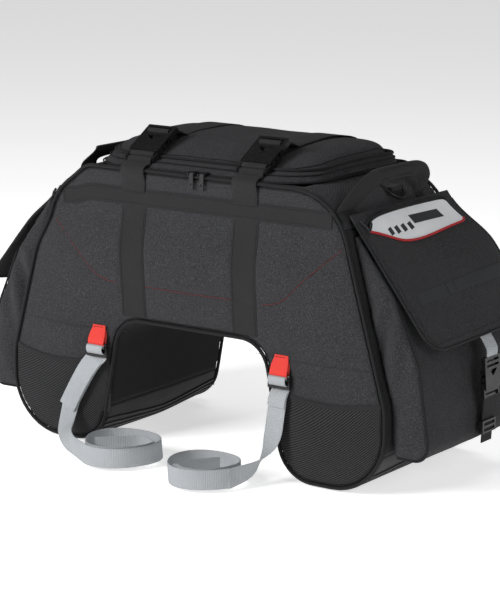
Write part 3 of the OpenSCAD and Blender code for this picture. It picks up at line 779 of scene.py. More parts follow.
def panel_trim():
    stitch, lobe = seam_points()
    middle = resample([(-STRAP_X + 19, 48), (0, 47), (STRAP_X - 19, 48)], step=5)
    dark = [[(x, z, 1.4) for x in range(-204, 205, 5)] for z in (BAND_Z[0] + 2, BAND_Z[1] - 2)]
    for _, s in SIDES:
        dark += [[(s * STRAP_X + dx, z, 1.7) for z in range(6, 148, 5)] for dx in (-16.5, 16.5)]
        dark.append([(s * p[0], p[1] - 2.5, 0.2) for p in lobe])
    for end, face in ENDS:
        project = on_panel(face)
        drawn = np.array([(x, face * REAR, z) for x, z in loop(BODY_CORNERS, 0.6, step=5.0)])
        cord = tube(f"piping_{end}", slump(drawn) + [0, face * 0.6, 0], PIPING_R, "piping", closed=True)
        on("bag", cord, "panel_piping")
        flange = [project(x, z, 0.1) for x, z in loop(BODY_CORNERS, 5.2, step=5.0)]
        on("bag", tube(f"piping_lip_{end}", flange, 0.9, "piping", closed=True, sides=6))
        band = draped(f"band_{end}", [(-211, 160), (211, 160)], BAND_Z[1] - BAND_Z[0] + 2, project, "webbing", 1.3)
        on("bag", band, "cross_bands")
        rows = [resample(r, step=4) for r in (stitch, stitch * MIRROR, middle)]
        red = [np.array([project(x, z, 0.25) for x, z in row]) for row in rows]
        on("bag", stitches(f"red_stitches_{end}", red, "red_thread", 0.45, "red_webbing"))
        lines = [np.array([project(*p) for p in row]) for row in dark]
        on("bag", stitches(f"dark_stitches_{end}", lines))


def mesh_patches():
    """The net pockets low on the front of the lobes, with an elastic hem."""
    project = on_panel(-1)
    levels, count = 26, 44
    lobe = rounded(inset(BODY_CORNERS, 6.5))
    lobe = lobe[(lobe[:, 0] > 100) & (lobe[:, 1] < -100)]
    lobe = lobe[np.argsort(lobe[:, 0])]
    for side_name, s in SIDES:
        top = spline([(s * 128, -57), (s * 165, -62), (s * 210, -65), (s * 255, -61), (s * 283, -56)], 6)
        hem = resample(top, count=400)
        upper, lower = np.zeros((levels, count, 3)), np.zeros((levels, count, 3))
        for j, x in enumerate(np.linspace(127.5, 282, count)):
            high = np.interp(x, np.abs(hem[:, 0]), hem[:, 1])
            low = np.interp(x, lobe[:, 0], lobe[:, 1])
            for i, t in enumerate(np.linspace(0, 1, levels)):
                z = high + (low - high) * t
                puff = 1.2 + 2.2 * math.sin(math.pi * min(1, t * 1.2)) * math.sin(math.pi * j / (count - 1))
                upper[i, j] = project(s * x, z, puff)
                lower[i, j] = project(s * x, z, -0.3)
        on("bag", sheet(f"mesh_pocket_{side_name}", upper, lower, "mesh", s < 0), "mesh_pockets")
        elastic = draped(f"mesh_hem_{side_name}", resample(top, step=4), 6.0,
                         lambda a, b, off: project(a, b, off + 1.1), "webbing", 1.0, across=5)
        on("bag", elastic)


panel_trim()
mesh_patches()


# ---------------------------------------------------------------- the lid's surface and its straps

BUCKLE_SCALE = 0.85
BUCKLE_SLOPE = math.radians(31)
BUCKLE_FOOT = np.array([FRONT + 13, DECK + 8])
LID_SPINE = spline([(-104, 207.5), (-98, 210.5), (-75, 219.5), (-52, 227.0), (-25, 230.5), (20, 232.5),
                    (60, 231.0), (90, 224.5), (104, 214), (112, 209)], 10)


def on_buckle(*places):
    """Y and Z of points of a lid buckle; each is (u, n): up its length and outwards, before scaling."""
    up = np.array([math.cos(BUCKLE_SLOPE), math.sin(BUCKLE_SLOPE)])
    out = np.array([-up[1], up[0]])
    return [tuple(BUCKLE_FOOT + u * BUCKLE_SCALE * up + n * BUCKLE_SCALE * out) for u, n in places]


def under_strap(x, reach):
    """1 at x under a lid strap, falling away within reach to its sides."""
    return math.exp(-((abs(x) - STRAP_X) / reach) ** 4)


def rim_z(x, y):
    """Height of the lid's piping: it rises at the sides and is pressed down under the front buckles."""
    press = 2.8 * under_strap(x, 22.0) * (y < 0)
    return RIM_TOP + 3.6 + 3.0 * math.sin(math.pi * np.clip((y + 80) / 180, 0, 1)) - press


def lid_z(x, y):
    """Height of the lid's fabric."""
    low = rim_z(x, y)
    inward = max(edge_x(y, RIM_CORNERS) - abs(x), 0.0)
    off_edge = min(1, inward / 12)
    full = max(np.interp(y, *LID_SPINE.T) - 3.0 * (x / 150.0) ** 2, low)
    z = low + (full - low) * (1 - math.exp(-inward / (11.0 - 4.0 * smoothstep(20, 90, y))))
    crease = 0.8 * math.exp(-((y + 51 + 1.5 * ripple(x, 0, 0, 30, 9.0)) / 2.2) ** 2)
    return z + (1.3 * ripple(x, y, 0, 46, 5.0) - 0.9 * under_strap(x, 17.0) + crease) * off_edge


def upright_ribbon(name, x, path, width, per, slot="webbing"):
    """Webbing that faces front or rear along (Y, Z) points at one X."""
    return ribbon(name, [(x, y, z) for y, z in spline(path, per)], ACROSS, width, slot)


def front_straps():
    for side_name, s in SIDES:
        x = s * STRAP_X
        sewn = draped(f"front_strap_sewn_{side_name}", [(x, PIPING_R * 2 + 1), (x, BAND_Z[1] + 1)], WIDE_WEB,
                      on_panel(-1), "webbing", 1.1)
        on("bag", sewn, "front_webbing")
        head, mid = on_skin(x, BAND_Z[1] - 3, 2.0), on_skin(x, BAND_Z[1] + 10, 1.0)
        free = [(head[1], head[2]), (mid[1] - 0.3, mid[2]), (FRONT - 4.6, DECK - 3), (FRONT - 3.4, DECK + 2.5),
                (FRONT + 2, DECK + 5.5)] + on_buckle((-5, 1.0), (0, 5.2), (4, 5.6), (7.5, 2.2), (12, 1.3))
        on("bag", upright_ribbon(f"front_strap_free_{side_name}", x, free, WIDE_WEB - 2, 8))
        roll = on_buckle((8.6, 2), (7.6, 6), (9, 8.6), (11.4, 9), (13.8, 8.2), (14.6, 4))
        on("bag", upright_ribbon(f"front_strap_roll_{side_name}", x, roll, WIDE_WEB - 2, 6))


def lid_straps():
    for side_name, s in SIDES:
        x = s * STRAP_X
        path = on_buckle((62, 8), (64.5, 3), (69, 1.1), (75, 1.2))
        path += [(y, lid_z(x, y) + 2.2) for y in range(-38, 100, 12)]
        path += [(104, lid_z(x, 104) + 2.2), (110.2, RIM_TOP + 2.5), (112.5, RIM_TOP - 5), (117, DECK + 3.4),
                 (124, DECK + 0.5), (REAR + 3.0, DECK - 7)]
        path += [tuple(on_skin(x, z, 1.2, 1)[1:]) for z in range(176, 4, -12)]
        strap = upright_ribbon(f"lid_strap_{side_name}", x, path, WIDE_WEB, 5)
        across_joint(strap, "bag", "lid", (x, 126, 190), (x, 110, 206), "top_straps", "rear_webbing")
        roll = on_buckle((55.6, 6), (56.6, 11.5), (59, 13.4), (62, 12.6), (63.6, 7))
        on("lid", upright_ribbon(f"lid_strap_roll_{side_name}", x, roll, WIDE_WEB - 6, 6))


front_straps()
lid_straps()


# ---------------------------------------------------------------- zip, lid and lining


def deck_loop(inward, height):
    """A loop round the lid's seam, height above the deck."""
    return raised(loop(SEAM_CORNERS, inward, count=360, arc=16), lambda x, y: DECK + height)


def lid_pieces():
    rim = loop(RIM_CORNERS, count=360, arc=16)
    lower = deck_loop(-0.5, 2.9)
    lower = np.roll(lower, -np.argmin(np.linalg.norm(lower[:, :2] - rim[0], axis=1)), 0)
    upper = raised(rim, lambda x, y: rim_z(x, y) - 1.6)
    on("lid", ring_band("lid_band", lower, upper, "shell_fabric", 1.6, 5, 0.6), "lid_rim", "lid_zip_tape")
    top = raised(rounded_grid(inset(RIM_CORNERS, 1.0), 75, 61), lid_z)
    on("lid", sheet("lid_shell", top, top - np.array([0, 0, 2.2]), "shell_fabric", angle=None), "lid_panel")
    on("lid", tube("lid_piping_cord", raised(rim, rim_z), 2.0, "piping", closed=True), "lid_piping")
    away = normed((lower - upper)[:, :2])
    for k, rise in enumerate((-1.6, 1.6)):
        path = lower * 0.52 + upper * 0.48 + np.hstack([away * 0.7, np.full((len(away), 1), rise)])
        on("lid", tube(f"lid_zip_cord_{k + 1}", path, 0.95, "zip_tape", closed=True, sides=6))
    lip = raised(loop(RIM_CORNERS, 5.0, count=300, arc=16), lambda x, y: lid_z(x, y) + 0.3)
    on("lid", tube("lid_piping_lip", lip, 0.8, "piping", closed=True, sides=6))

    def quilt(x, y):
        return DECK + 3.2 - 1.2 * min(1, (edge_x(y, RIM_CORNERS) - abs(x)) / 9) + 0.7 * ripple(x, y, 0, 32, 2.0)

    pad = rounded_grid(inset(RIM_CORNERS, 4.0), 41, 31)
    foam_top = raised(pad, lambda x, y: RIM_TOP - 0.5)
    on("lid", sheet("lid_lining", foam_top, raised(pad, quilt), "lining_fabric"), "lid_foam")


def zip_and_hinge():
    tape = ring_band("zip_tape_ring", deck_loop(-1.2, 0.8), deck_loop(6.5, 1.6), "zip_tape", 0.9, 3)
    on("bag", tape, "deck_zip_tape")
    core = deck_loop(1.0, 2.0)
    on("bag", tube("zip_core", core, 0.9, "zip_tape", closed=True, sides=6))
    fine = resample(core, step=2.4, closed=True)
    parts = []
    for p, t in zip(fine, normed(np.roll(fine, -1, 0) - fine)):
        out = np.array([t[1], -t[0], 0.0])
        parts.append(tube_parts([p - out * 2.0, p + out * 0.2 + [0, 0, 1.5], p + out * 2.2], 0.5, sides=4))
    on("bag", new_object("zip_teeth", *with_slot(joined(parts), "zip_tape"), None, "slider_metal"))
    on("bag", tube("zip_edge_cord", deck_loop(-3.4, 1.7), 1.1, "piping", closed=True, sides=6))

    profile = spline([(119.5, DECK + 1.0), (117.5, DECK + 3.4), (113.5, DECK + 6.5), (109.2, RIM_TOP)], 6)
    top = np.array([[(x, y + 0.4 * ripple(x, 0, 0, 18, 4.0), z) for x in np.linspace(112, -112, 29)]
                    for y, z in profile])
    hinge = sheet("lid_hinge_fabric", top, top - np.array([0, 1.6, 0.6]), "shell_fabric")
    across_joint(hinge, "bag", "lid", (0, 119.5, 196), (0, 109, 206.5))


def stiffeners():
    """Thin foam behind the front and rear panels."""
    for end, face in ENDS:
        low, high = sorted((face * (REAR - 4.5), face * (REAR - 9.5)))
        pad = prism(f"stiffener_{end}", loop(BODY_CORNERS, 9.0, step=6.0), low, high,
                    lambda p, y: slump(np.array([p[0], y, p[1]])), 2, "foam")
        on("bag", pad, "panel_stiffeners")


def lining():
    low = FRONT + 12
    bag = prism("lining_block", loop(BODY_CORNERS, 6.5, step=7.0), low, -low, lambda p, y: (p[0], y, p[1]), 24)
    drawn = remeshed(bag, 8.0)
    fold = np.array([ripple(a, b, c, 34, 7.0) for a, b, c in drawn])
    set_points(bag.data, slump(drawn - read(bag.data, "normal") * (1.2 + 1.2 * fold)[:, None]))
    x, y, z = face_centres(bag.data, drawn).T
    mouth = inset(SEAM_CORNERS, 9)
    inside = (np.abs(x) < edge_x(y, mouth)) & (z > DECK - 14) & (y > mouth[0][1]) & (y < mouth[1][1])
    pieces = split(bag, np.where(inside, 1, 0), {0: ("lining_bag", "lining_fabric")}, -1.0)
    on("bag", pieces[0], "lining")


lid_pieces()
zip_and_hinge()
stiffeners()
lining()


# ---------------------------------------------------------------- shoulders: handles and D-ring loops

SHOULDER_R = 80.0
SHOULDER_HALF = math.acos(72 / math.hypot(72, 255))
SHOULDER = np.array([216 - SHOULDER_R / math.tan((math.pi - SHOULDER_HALF) / 2), DECK - SHOULDER_R])
FOOT_ANGLE = 47
RING_ANGLE = 40
RING_Y = 15.0
HANDLE_LEAN = {"right": 12, "left": -12}
HANDLE_DROOP = {"right": 1.0, "left": 0.76}
HANDLE_SLIP = {"right": 0.0, "left": 30.0}
FRONT_FOOT, REAR_FOOT = (-122, -84), (78, 56)
HANDLE_OUTER = [(FRONT_FOOT[0], 0), (-106, 17), (-84, 33), (-66, 41), (-50, 44.2), (-30, 44.5), (20, 44), (46, 42.5),
                (64, 37.5), (76, 29), (83, 19), (83.5, 11), (80, 4), (REAR_FOOT[0], 0)]
HANDLE_INNER = [(FRONT_FOOT[1], 0), (-70, 6), (-56, 14), (-44, 20.5), (-34, 24), (-10, 25.5), (24, 25.5), (42, 23.5),
                (52, 18.5), (57, 12), (57.5, 6), (57, 3), (REAR_FOOT[1], 0)]


def shoulder_point(angle, off=0.0):
    """X and Z on the right shoulder, at an angle in degrees from straight up."""
    a = math.radians(angle)
    return SHOULDER + (SHOULDER_R + off) * np.array([math.sin(a), math.cos(a)])


def handle_place(side_name, s, up):
    """A function for points of a handle's plane: y along, r up from the feet, n outwards. Below the feet it
    follows the shoulder."""
    out = np.array([up[1], -up[0]])

    def place(y, r, n):
        y += HANDLE_SLIP[side_name] * smoothstep(-38, -88, y)
        if r >= 0:
            x, z = shoulder_point(FOOT_ANGLE, 1.5) + r * HANDLE_DROOP[side_name] * up + n * out
        else:
            x, z = shoulder_point(FOOT_ANGLE - math.degrees(r / SHOULDER_R), 0.9 + n)
        p = np.array([s * x, y, z])
        return p + (slump(p) - p) * (1 - smoothstep(0, 22, r))
    return place


def handles():
    count = 61
    outer, inner = (resample(spline(edge, 6), count=count) for edge in (HANDLE_OUTER, HANDLE_INNER))
    rows = [((FRONT_FOOT[0], -k * 3.0), (FRONT_FOOT[1] - k * 0.6, -k * 3.0)) for k in range(5, 0, -1)]
    rows += list(zip(outer, inner))
    rows += [((REAR_FOOT[0] - k * 0.3, -k * 3.0), (REAR_FOOT[1] - k * 0.3, -k * 3.0)) for k in range(1, 6)]
    seams = [spline(line) for line in ([(-42, 40), (0, 40.5), (40, 39)], [(-32, 29), (0, 29.5), (36, 29)])]
    for side_name, s in SIDES:
        name = f"handle_{side_name}"
        lean = math.radians(HANDLE_LEAN[side_name])
        up = np.array([math.sin(lean), math.cos(lean)])
        place = handle_place(side_name, s, up)
        top, bottom = np.zeros((len(rows), 7, 3)), np.zeros((len(rows), 7, 3))
        for i, (a, b) in enumerate(rows):
            middle = (a[0] + b[0]) / 2
            grip = smoothstep(-58, -44, middle) * (1 - smoothstep(40, 54, middle))
            for j, w in enumerate(np.linspace(0, 1, 7)):
                y, r = a[0] + (b[0] - a[0]) * w, a[1] + (b[1] - a[1]) * w
                belly = 0.8 + grip * 1.9 * math.sin(math.pi * np.clip(w, 0.04, 0.96)) ** 0.5
                bow = 1.2 * math.sin(math.pi * w) * (1 - grip) * (r > 4)
                top[i, j], bottom[i, j] = place(y, r, belly + bow), place(y, r, bow - belly)
        strap = sheet(f"{name}_webbing", top, bottom, "webbing", s < 0)
        foot = shoulder_point(FOOT_ANGLE, 1.5)
        ends = [(s * p[0], 0, p[1]) for p in (foot, foot + 9 * up)]
        across_joint(strap, "bag", name, *ends, name)
        on(name, stitches(f"{name}_stitches", [np.array([place(y, r, 2.9) for y, r in seam]) for seam in seams]))
        boxes = []
        for mid in (-105.0, 67.5):
            box = [(mid - 8, -3), (mid + 8, -3), (mid + 8, -12), (mid - 8, -12), (mid - 8, -3)]
            boxes.append(np.array([place(y, r, 1.1) for y, r in resample(box, step=2)]))
        on("bag", stitches(f"{name}_foot_stitches", boxes))


def d_ring_loops():
    """Short loops of webbing, in u down the shoulder and n off it, each round a ring's bar."""
    a = math.radians(RING_ANGLE)
    down = np.array([math.cos(a), -math.sin(a)])
    far, near = [math.sqrt(SHOULDER_R**2 - u * u) - SHOULDER_R for u in (24, 12)]
    path = [(-24, far + 0.9), (-12, near + 1.0), (-4, 1.2), (1, 1.9), (3.1, 4.2), (2.6, 7.2),
            (0, 8.3), (-2.9, 7.0), (-4.5, 4.2), (-12, near + 2.7), (-24, far + 2.6)]
    for side_name, s in SIDES:
        places = [shoulder_point(RING_ANGLE, n) + u * down for u, n in spline(path, 6)]
        points = [(s * x, RING_Y, z) for x, z in places]
        on("bag", ribbon(f"ring_loop_{side_name}", points, ALONG, NARROW_WEB - 2, "webbing"), "d_ring_loops")


handles()
d_ring_loops()


# ---------------------------------------------------------------- side pockets and their flaps

POCKET_HALF = 112.0
FLAP_TOP = np.array([225.0, 158.0])
FLAP_TILT = math.radians(52.3)
FLAP_DOWN = np.array([math.cos(FLAP_TILT), -math.sin(FLAP_TILT)])
FLAP_OUT = np.array([math.sin(FLAP_TILT), math.cos(FLAP_TILT)])
FLAP_LEN = 185.0
FLAP_HALF = 108.0
FLAP_CORNER = 28.0
FLAP_OFF = 3.0
FLAP_T = 2.5
MOUTH_S = (22.0, 58.0)
BUCKLE_Y = 12.0
PLUG_TOP = np.array([350.0, -61.0]) + 50.4 * np.array([-math.sin(math.radians(4)), math.cos(math.radians(4))])
WINDOW_HIGH = [(-95, 17), (-78, 9), (-50, 4.5), (0, 3), (60, 3.5), (90, 5), (96, 9)]
WINDOW_LOW = [(-95, 19), (-76, 27), (-50, 39.5), (-36, 44), (-15, 46.5), (10, 46.5), (60, 43.5), (88, 41.5), (96, 37)]


def along_out(x, z):
    """Distances down the flap's line and out of it, of points in X and Z."""
    rel = np.stack([x, z], -1) - FLAP_TOP
    return rel @ FLAP_DOWN, rel @ FLAP_OUT


def stuffed(distance, y):
    """How far the load swells the pocket under its flap, most towards the rear."""
    return 19.0 * smoothstep(2, 85, distance) * (1 - 0.55 * smoothstep(105, 180, distance)) * smoothstep(-50, 95, y)


def pocket_load(x, y, z):
    """The swelling of the pocket's shell, in X and Z."""
    along, out = along_out(x, z)
    return (stuffed(along, y) * 0.8 * smoothstep(-45, -5, out))[..., None] * FLAP_OUT


def pocket_shell(side_name, s):
    outline = loop(POCKET_CORNERS, step=4.0)[::s]
    block = prism(f"pocket_{side_name}", outline, -POCKET_HALF, POCKET_HALF, lambda p, y: (s * p[0], y, p[1]), 40)
    co = remeshed(block, 5.0)
    centres = face_centres(block.data, co)
    x, y, z = np.abs(co[:, 0]), co[:, 1].copy(), co[:, 2].copy()
    edge = nearest(resample(rounded(POCKET_CORNERS), step=2.0, closed=True), np.stack([x, z], 1))
    on_end = np.abs(y) > POCKET_HALF - 3
    fold = 2.6 * np.sin((x - 0.34 * z + 5 * np.sin(z / 22)) / 5.6) * np.exp(-((z - 22) / 46) ** 2)
    fold += 0.7 * np.sin((x - 0.5 * z) / 9.0)
    swell = (5.0 * (1 - np.exp(-edge / 16)) + 1.6 * fold * np.clip(edge / 12, 0, 1)) * (1 - smoothstep(60, 130, z))
    co[:, 1] += np.where(on_end, np.sign(y) * swell, 0)
    y = co[:, 1]
    across = 1 - (y / POCKET_HALF) ** 2
    puff = 2.2 * across * np.exp(-((z + 62) / 44) ** 2)
    dent = 1.4 * np.array([ripple(0, b, c, 33, 6.0) for _, b, c in co])
    outer = (~on_end) & (x > 318) & (z < 10)
    co[:, 0] += np.where(outer, s * (puff + dent * np.clip(across * 2, 0, 1) - 0.8), 0)
    co[:, [0, 2]] += pocket_load(x, y, z) * [s, 1]
    set_points(block.data, co)
    slope, depth = along_out(np.abs(centres[:, 0]), centres[:, 2])
    mouth = (slope > MOUTH_S[0]) & (slope < MOUTH_S[1]) & (depth > -14) & (np.abs(centres[:, 1]) < POCKET_HALF - 12)
    pieces = split(block, np.where(mouth, 1, 0), {0: (f"pocket_shell_{side_name}", "shell_fabric")}, 1.8)
    on("bag", pieces[0], "side_pockets")


def pocket_edges(side_name, s):
    """Piping round the free part of the pocket's ends, from the body's piping to under the flap."""
    ring = loop(POCKET_CORNERS, 0.4, step=4.0)
    keep = ring[(ring[:, 1] < 120) & (ring[:, 0] > 289 + np.maximum(0, (-60 - ring[:, 1]) * 0.03) + 3)]
    keep = np.roll(keep, -np.argmin(keep[:, 1] + 0.2 * keep[:, 0]), 0)
    gaps = np.linalg.norm(np.diff(keep, axis=0), axis=1)
    if gaps.max() > 20:
        keep = np.roll(keep, -(int(np.argmax(gaps)) + 1), 0)
    for end, face in ENDS:
        q = keep + pocket_load(keep[:, 0], face * POCKET_HALF, keep[:, 1])
        path = [(s * x, face * (POCKET_HALF - 0.3), z) for x, z in q]
        on("bag", tube(f"pocket_edge_{side_name}_{end}", path, 1.3, "piping", sides=6))


def flap_xz(distance, n):
    return FLAP_TOP + distance * FLAP_DOWN + n * FLAP_OUT


def flap_n(s, distance, y):
    """How far the flap's outer face stands off the pocket. The left flap's front edge hangs loose."""
    across = max(0.0, 1 - (y / FLAP_HALF) ** 2)
    lift = 6.5 * math.sin(math.pi * np.clip(distance / FLAP_LEN, 0, 1)) ** 0.8 * across**0.45
    loose = 9.0 * max(0.0, distance / FLAP_LEN) * smoothstep(-20, -100, y) * (s < 0)
    wave = 0.9 * ripple(distance, y, 0, 52, 11.0) * min(1, max(0, distance) / 30)
    return FLAP_OFF + FLAP_T + lift + wave + loose + stuffed(distance, y)


def flap_point(s, distance, y, off=0.0):
    """A point of the flap, down it and along Y. The left flap's top sags with the shoulder."""
    x, z = flap_xz(distance, flap_n(s, distance, y) + off)
    sag = (1 - smoothstep(10, 75, distance)) * smoothstep(60, -80, y) * (s < 0)
    return np.array([s * (x - 4.0 * sag), y, z - 7.0 * sag])


def flap_y(distance, u):
    """Y of a point of the flap, u from -1 at its front edge to 1 at its rear edge."""
    over = np.clip(distance - (FLAP_LEN - FLAP_CORNER), 0, FLAP_CORNER)
    half = FLAP_HALF - (FLAP_CORNER - math.sqrt(max(FLAP_CORNER**2 - over * over, 0)))
    return u * half + 3.5 * (1 + u)


def flap_line(s, places, off=0.0, step=None):
    """Points of the flap for (distance, y) places."""
    points = [flap_point(s, d, y, off) for d, y in places]
    return resample(points, step=step) if step else points


def flap_border(rows, front, rear, foot, foot_y, edge=0.0):
    """(distance, y) places down the flap's front edge, along its foot and up its rear edge."""
    places = [(d, flap_y(d, -1) + edge) for d in rows[front]]
    places += [(foot, y) for y in np.linspace(*foot_y, 30)]
    return places + [(d, flap_y(d, 1) - edge) for d in rows[rear]]


def flap_patch(name, s, y_edges, near, far, off, thick, look, slot, nu, nv):
    """A patch on the flap between the curves near(y) and far(y)."""
    places = [[(near(y) + (far(y) - near(y)) * t, y) for t in np.linspace(0, 1, nv)] for y in np.linspace(*y_edges, nu)]
    top, low = (np.array([flap_line(s, row, height) for row in places]) for height in (off, off - thick))
    return sheet(name, top, low, slot, s < 0, look=look)


def flap_shell(side_name, s, bend):
    rows = np.concatenate([np.linspace(-6, 18, 9), np.linspace(22, FLAP_LEN - FLAP_CORNER, 26),
                           FLAP_LEN - FLAP_CORNER + FLAP_CORNER * np.sin(np.linspace(0.12, 1, 12) * math.pi / 2)])
    places = [[(d, flap_y(d, u)) for u in np.linspace(-1, 1, 45)] for d in rows]
    top, low = (np.array([flap_line(s, row, off) for row in places]) for off in (0.0, -FLAP_T))
    bend(sheet(f"flap_{side_name}_shell", top, low, "shell_fabric", s < 0), f"flap_{side_name}")
    border = flap_border(rows, slice(4, None), slice(None, 3, -1), FLAP_LEN, (-76, 84))
    path = flap_line(s, [(d, y * 0.995) for d, y in border], -FLAP_T / 2, 4)
    bend(tube(f"flap_binding_{side_name}", path, 2.0, "piping"))
    inner = flap_border(rows, slice(8, -6), slice(-7, 8, -1), FLAP_LEN - 8, (-78, 86), 7)
    on(f"pocket_flap_{side_name}", stitches(f"flap_stitches_{side_name}", [flap_line(s, inner, 0.25, 3)]))


def flap_window(side_name, s, bend):
    """The reflective window, with generic bars and a plain label, its piping, zip, slider and pull."""
    body = f"pocket_flap_{side_name}"
    high, foot = spline(WINDOW_HIGH), spline(WINDOW_LOW)
    window = flap_patch(f"window_{side_name}", s, (-94, 96), lambda y: float(np.interp(y, *high.T)),
                        lambda y: float(np.interp(y, *foot.T)), 0.7, 1.0, None, "reflective", 70, 14)
    bend(window, f"flap_window_{side_name}")
    for k, y0 in enumerate((-58, -44, -30, -16)):
        near, far = (lambda y, a=y0, d=d: d - 0.25 * (y - a) for d in (24, 34))
        on(body, flap_patch(f"window_bar_{side_name}_{k + 1}", s, (y0, y0 + 8), near, far, 1.0, 0.8, "window_print",
                            "reflective", 5, 5))
    near, far = (lambda y, d=d: d + 0.03 * y for d in (14, 27))
    on(body, flap_patch(f"window_label_{side_name}", s, (-2, 62), near, far, 1.0, 0.8, "window_print",
                        "reflective", 24, 6))
    red = flap_line(s, [(d + 1.2, y) for y, d in foot], 0.9, 3)
    bend(tube(f"window_piping_{side_name}", red, 1.5, "red_webbing", look="red_cord"))
    arc = flap_line(s, [(d - 3.2, y) for y, d in spline([(-100, 25)] + WINDOW_HIGH)], 1.0, 3)
    bend(tube(f"window_zip_{side_name}", arc, 2.0, "zip_tape"))
    knob = [flap_point(s, 22, -99, 1.0), flap_point(s, 19, -95, 3.6), flap_point(s, 14, -89, 3.8),
            flap_point(s, 11, -84, 2.0)]
    bend(tube(f"window_slider_{side_name}", spline(knob, 6), 2.3, "slider_metal"))
    tag = [flap_point(s, 20, -97, 3.5), flap_point(s, 14, -100, 4.6), flap_point(s, 6, -103, 4.0)]
    on(body, tube(f"window_pull_{side_name}", spline(tag, 6), 1.5, "pull_rubber"))
    for k, edges in enumerate(((-80, -22), (-18, -8), (-4, 100))):
        on(body, flap_patch(f"stripe_{side_name}_{k + 1}", s, edges, lambda y: 112.0, lambda y: 127.0, 0.35, 0.6,
                            "grey_reflective", "shell_fabric", 24, 5))


def flap_straps(side_name, s):
    """The grey loop under the flap's foot, and the strap below the pocket's buckle."""
    under = flap_n(s, FLAP_LEN, BUCKLE_Y)
    loop_path = [flap_xz(172, under - 4.6), flap_xz(180, under - 4.2), flap_xz(FLAP_LEN + 1, under - 3.0)]
    loop_path += [PLUG_TOP + p for p in ([6.0, 12], [7.4, 5], [6.4, -1], [3.0, -5], [1.6, -9])]
    strap = [(350.6, -50), (350.2, -62), (348.9, -84), (348.6, -90), (349.8, -98), (348.4, -106), (347.6, -118)]
    for name, path, slot, body, node in (
        ("flap_strap", loop_path, "grey_webbing", f"pocket_flap_{side_name}", f"flap_loop_{side_name}"),
        ("pocket_strap", strap, "webbing", "bag", "pocket_straps"),
    ):
        points = [(s * x, BUCKLE_Y, z) for x, z in spline(path, 6)]
        on(body, ribbon(f"{name}_{side_name}", points, ALONG, NARROW_WEB, slot), node)


def pockets():
    for side_name, s in SIDES:
        pocket_shell(side_name, s)
        pocket_edges(side_name, s)
        ends = [(s * x, 0, z) for x, z in (flap_xz(-2, 4), flap_xz(16, 4))]

        def bend(piece, *nodes):
            return across_joint(piece, "bag", f"pocket_flap_{side_name}", *ends, *nodes)

        flap_shell(side_name, s, bend)
        flap_window(side_name, s, bend)
        flap_straps(side_name, s)


pockets()


# ---------------------------------------------------------------- tabs and mounting straps

BAR_Y = FRONT - 9
COIL_MID_Z = FLOOR + 2 + NARROW_WEB / 2
LOCK_ROLL = [(3.0, -45.5), (2.0, -41.6), (-1.6, -38.6), (-4.6, -36.4), (-6.6, -38), (-7.0, -42), (-5.2, -46.2),
             (-1.0, -48), (2.2, -49.6), (2.4, -53.5)]
TILT = (0.9, 0, -0.44)
FRONT_RIGHT_RUN = [
    (142, 2.8, -47, ACROSS), (142, 3.6, -52, ACROSS), (142, 0.8, -58, ACROSS), (141.5, -2.2, -65, ACROSS),
    (140, -5, -85, (1, 0.03, 0.02)), (137, -8, -112, (0.98, 0.0, 0.15)), (131, -16, -134, (0.8, -0.35, 0.5)),
    (126, -34, -149, (0.35, -0.35, 0.87))]
FRONT_LEFT_RUN = [
    (-142, 2.8, -47, ACROSS), (-144, 3.6, -52, ACROSS), (-148, 0.8, -58, TILT), (-154, -2.2, -67, TILT),
    (-167, -3.4, -88, TILT), (-181, -4.6, -113, (0.94, 0, -0.3)), (-184, -9, -132, (1, 0, 0)),
    (-178, -22, -147, (0.9, 0.05, 0.36)), (-154, -47, COIL_MID_Z + 1, (0.4, 0.1, 0.9)),
    (-127, -67, COIL_MID_Z, UPRIGHT)]
FRONT_RIGHT_TAIL = [(142, -2.6, -59, ACROSS), (141.5, -5.6, -66, ACROSS), (141, -6.6, -74, ACROSS)]
FRONT_LEFT_TAIL = [(-149, -2.6, -59, TILT), (-159, -6.2, -74, TILT), (-173, -7.8, -98, TILT), (-186, -9.8, -123, TILT)]


def anchor_tabs():
    for (end, face), x_mid in zip(ENDS, (FRONT_TAB_X, REAR_TAB_X)):
        for side_name, s in SIDES:
            x = s * x_mid
            lie, under = on_skin(x, -12, 1.0, face), on_skin(x, -22, 0.6, face)
            bar = [(face * (-BAR_Y + off), z) for off, z in (
                (2.4, -30), (2.8, -36), (1.6, -38.4), (0, -39.0), (-1.9, -38.2), (-2.8, -36), (-2.6, -32))]
            path = spline([(lie[1], -11.5), (lie[1] + face * 0.3, -15)] + bar + [(under[1], -21), (under[1], -17)], 6)
            widths = NARROW_WEB - 5 + 5 * smoothstep(-12, -26, path[:, 1])
            points = [(x, y, z) for y, z in path]
            on("bag", ribbon(f"tab_{end}_{side_name}", points, ACROSS, widths, "red_webbing"), "anchor_tabs")
            z = -14.0
            row = [(x + dx, lie[1] + face * (0.9 - 0.22 * (z - lie[2])), z) for dx in np.linspace(-8, 8, 9)]
            on("bag", stitches(f"tab_stitches_{end}_{side_name}", [np.array(row)], "red_thread", radius=0.35))


def coil(centre, radii, start, sweep, s):
    """Points of a loose roll of strap standing on edge, in right-hand coordinates mirrored by s."""
    points = []
    for t in np.linspace(0, 1, 71):
        a = math.radians(start - sweep * t)
        r = radii[0] + (radii[1] - radii[0]) * t + 2.0 * math.sin(3.1 * a + start)
        points.append((s * (centre[0] + r * math.cos(a)), centre[1] + 0.97 * r * math.sin(a), COIL_MID_Z))
    return points


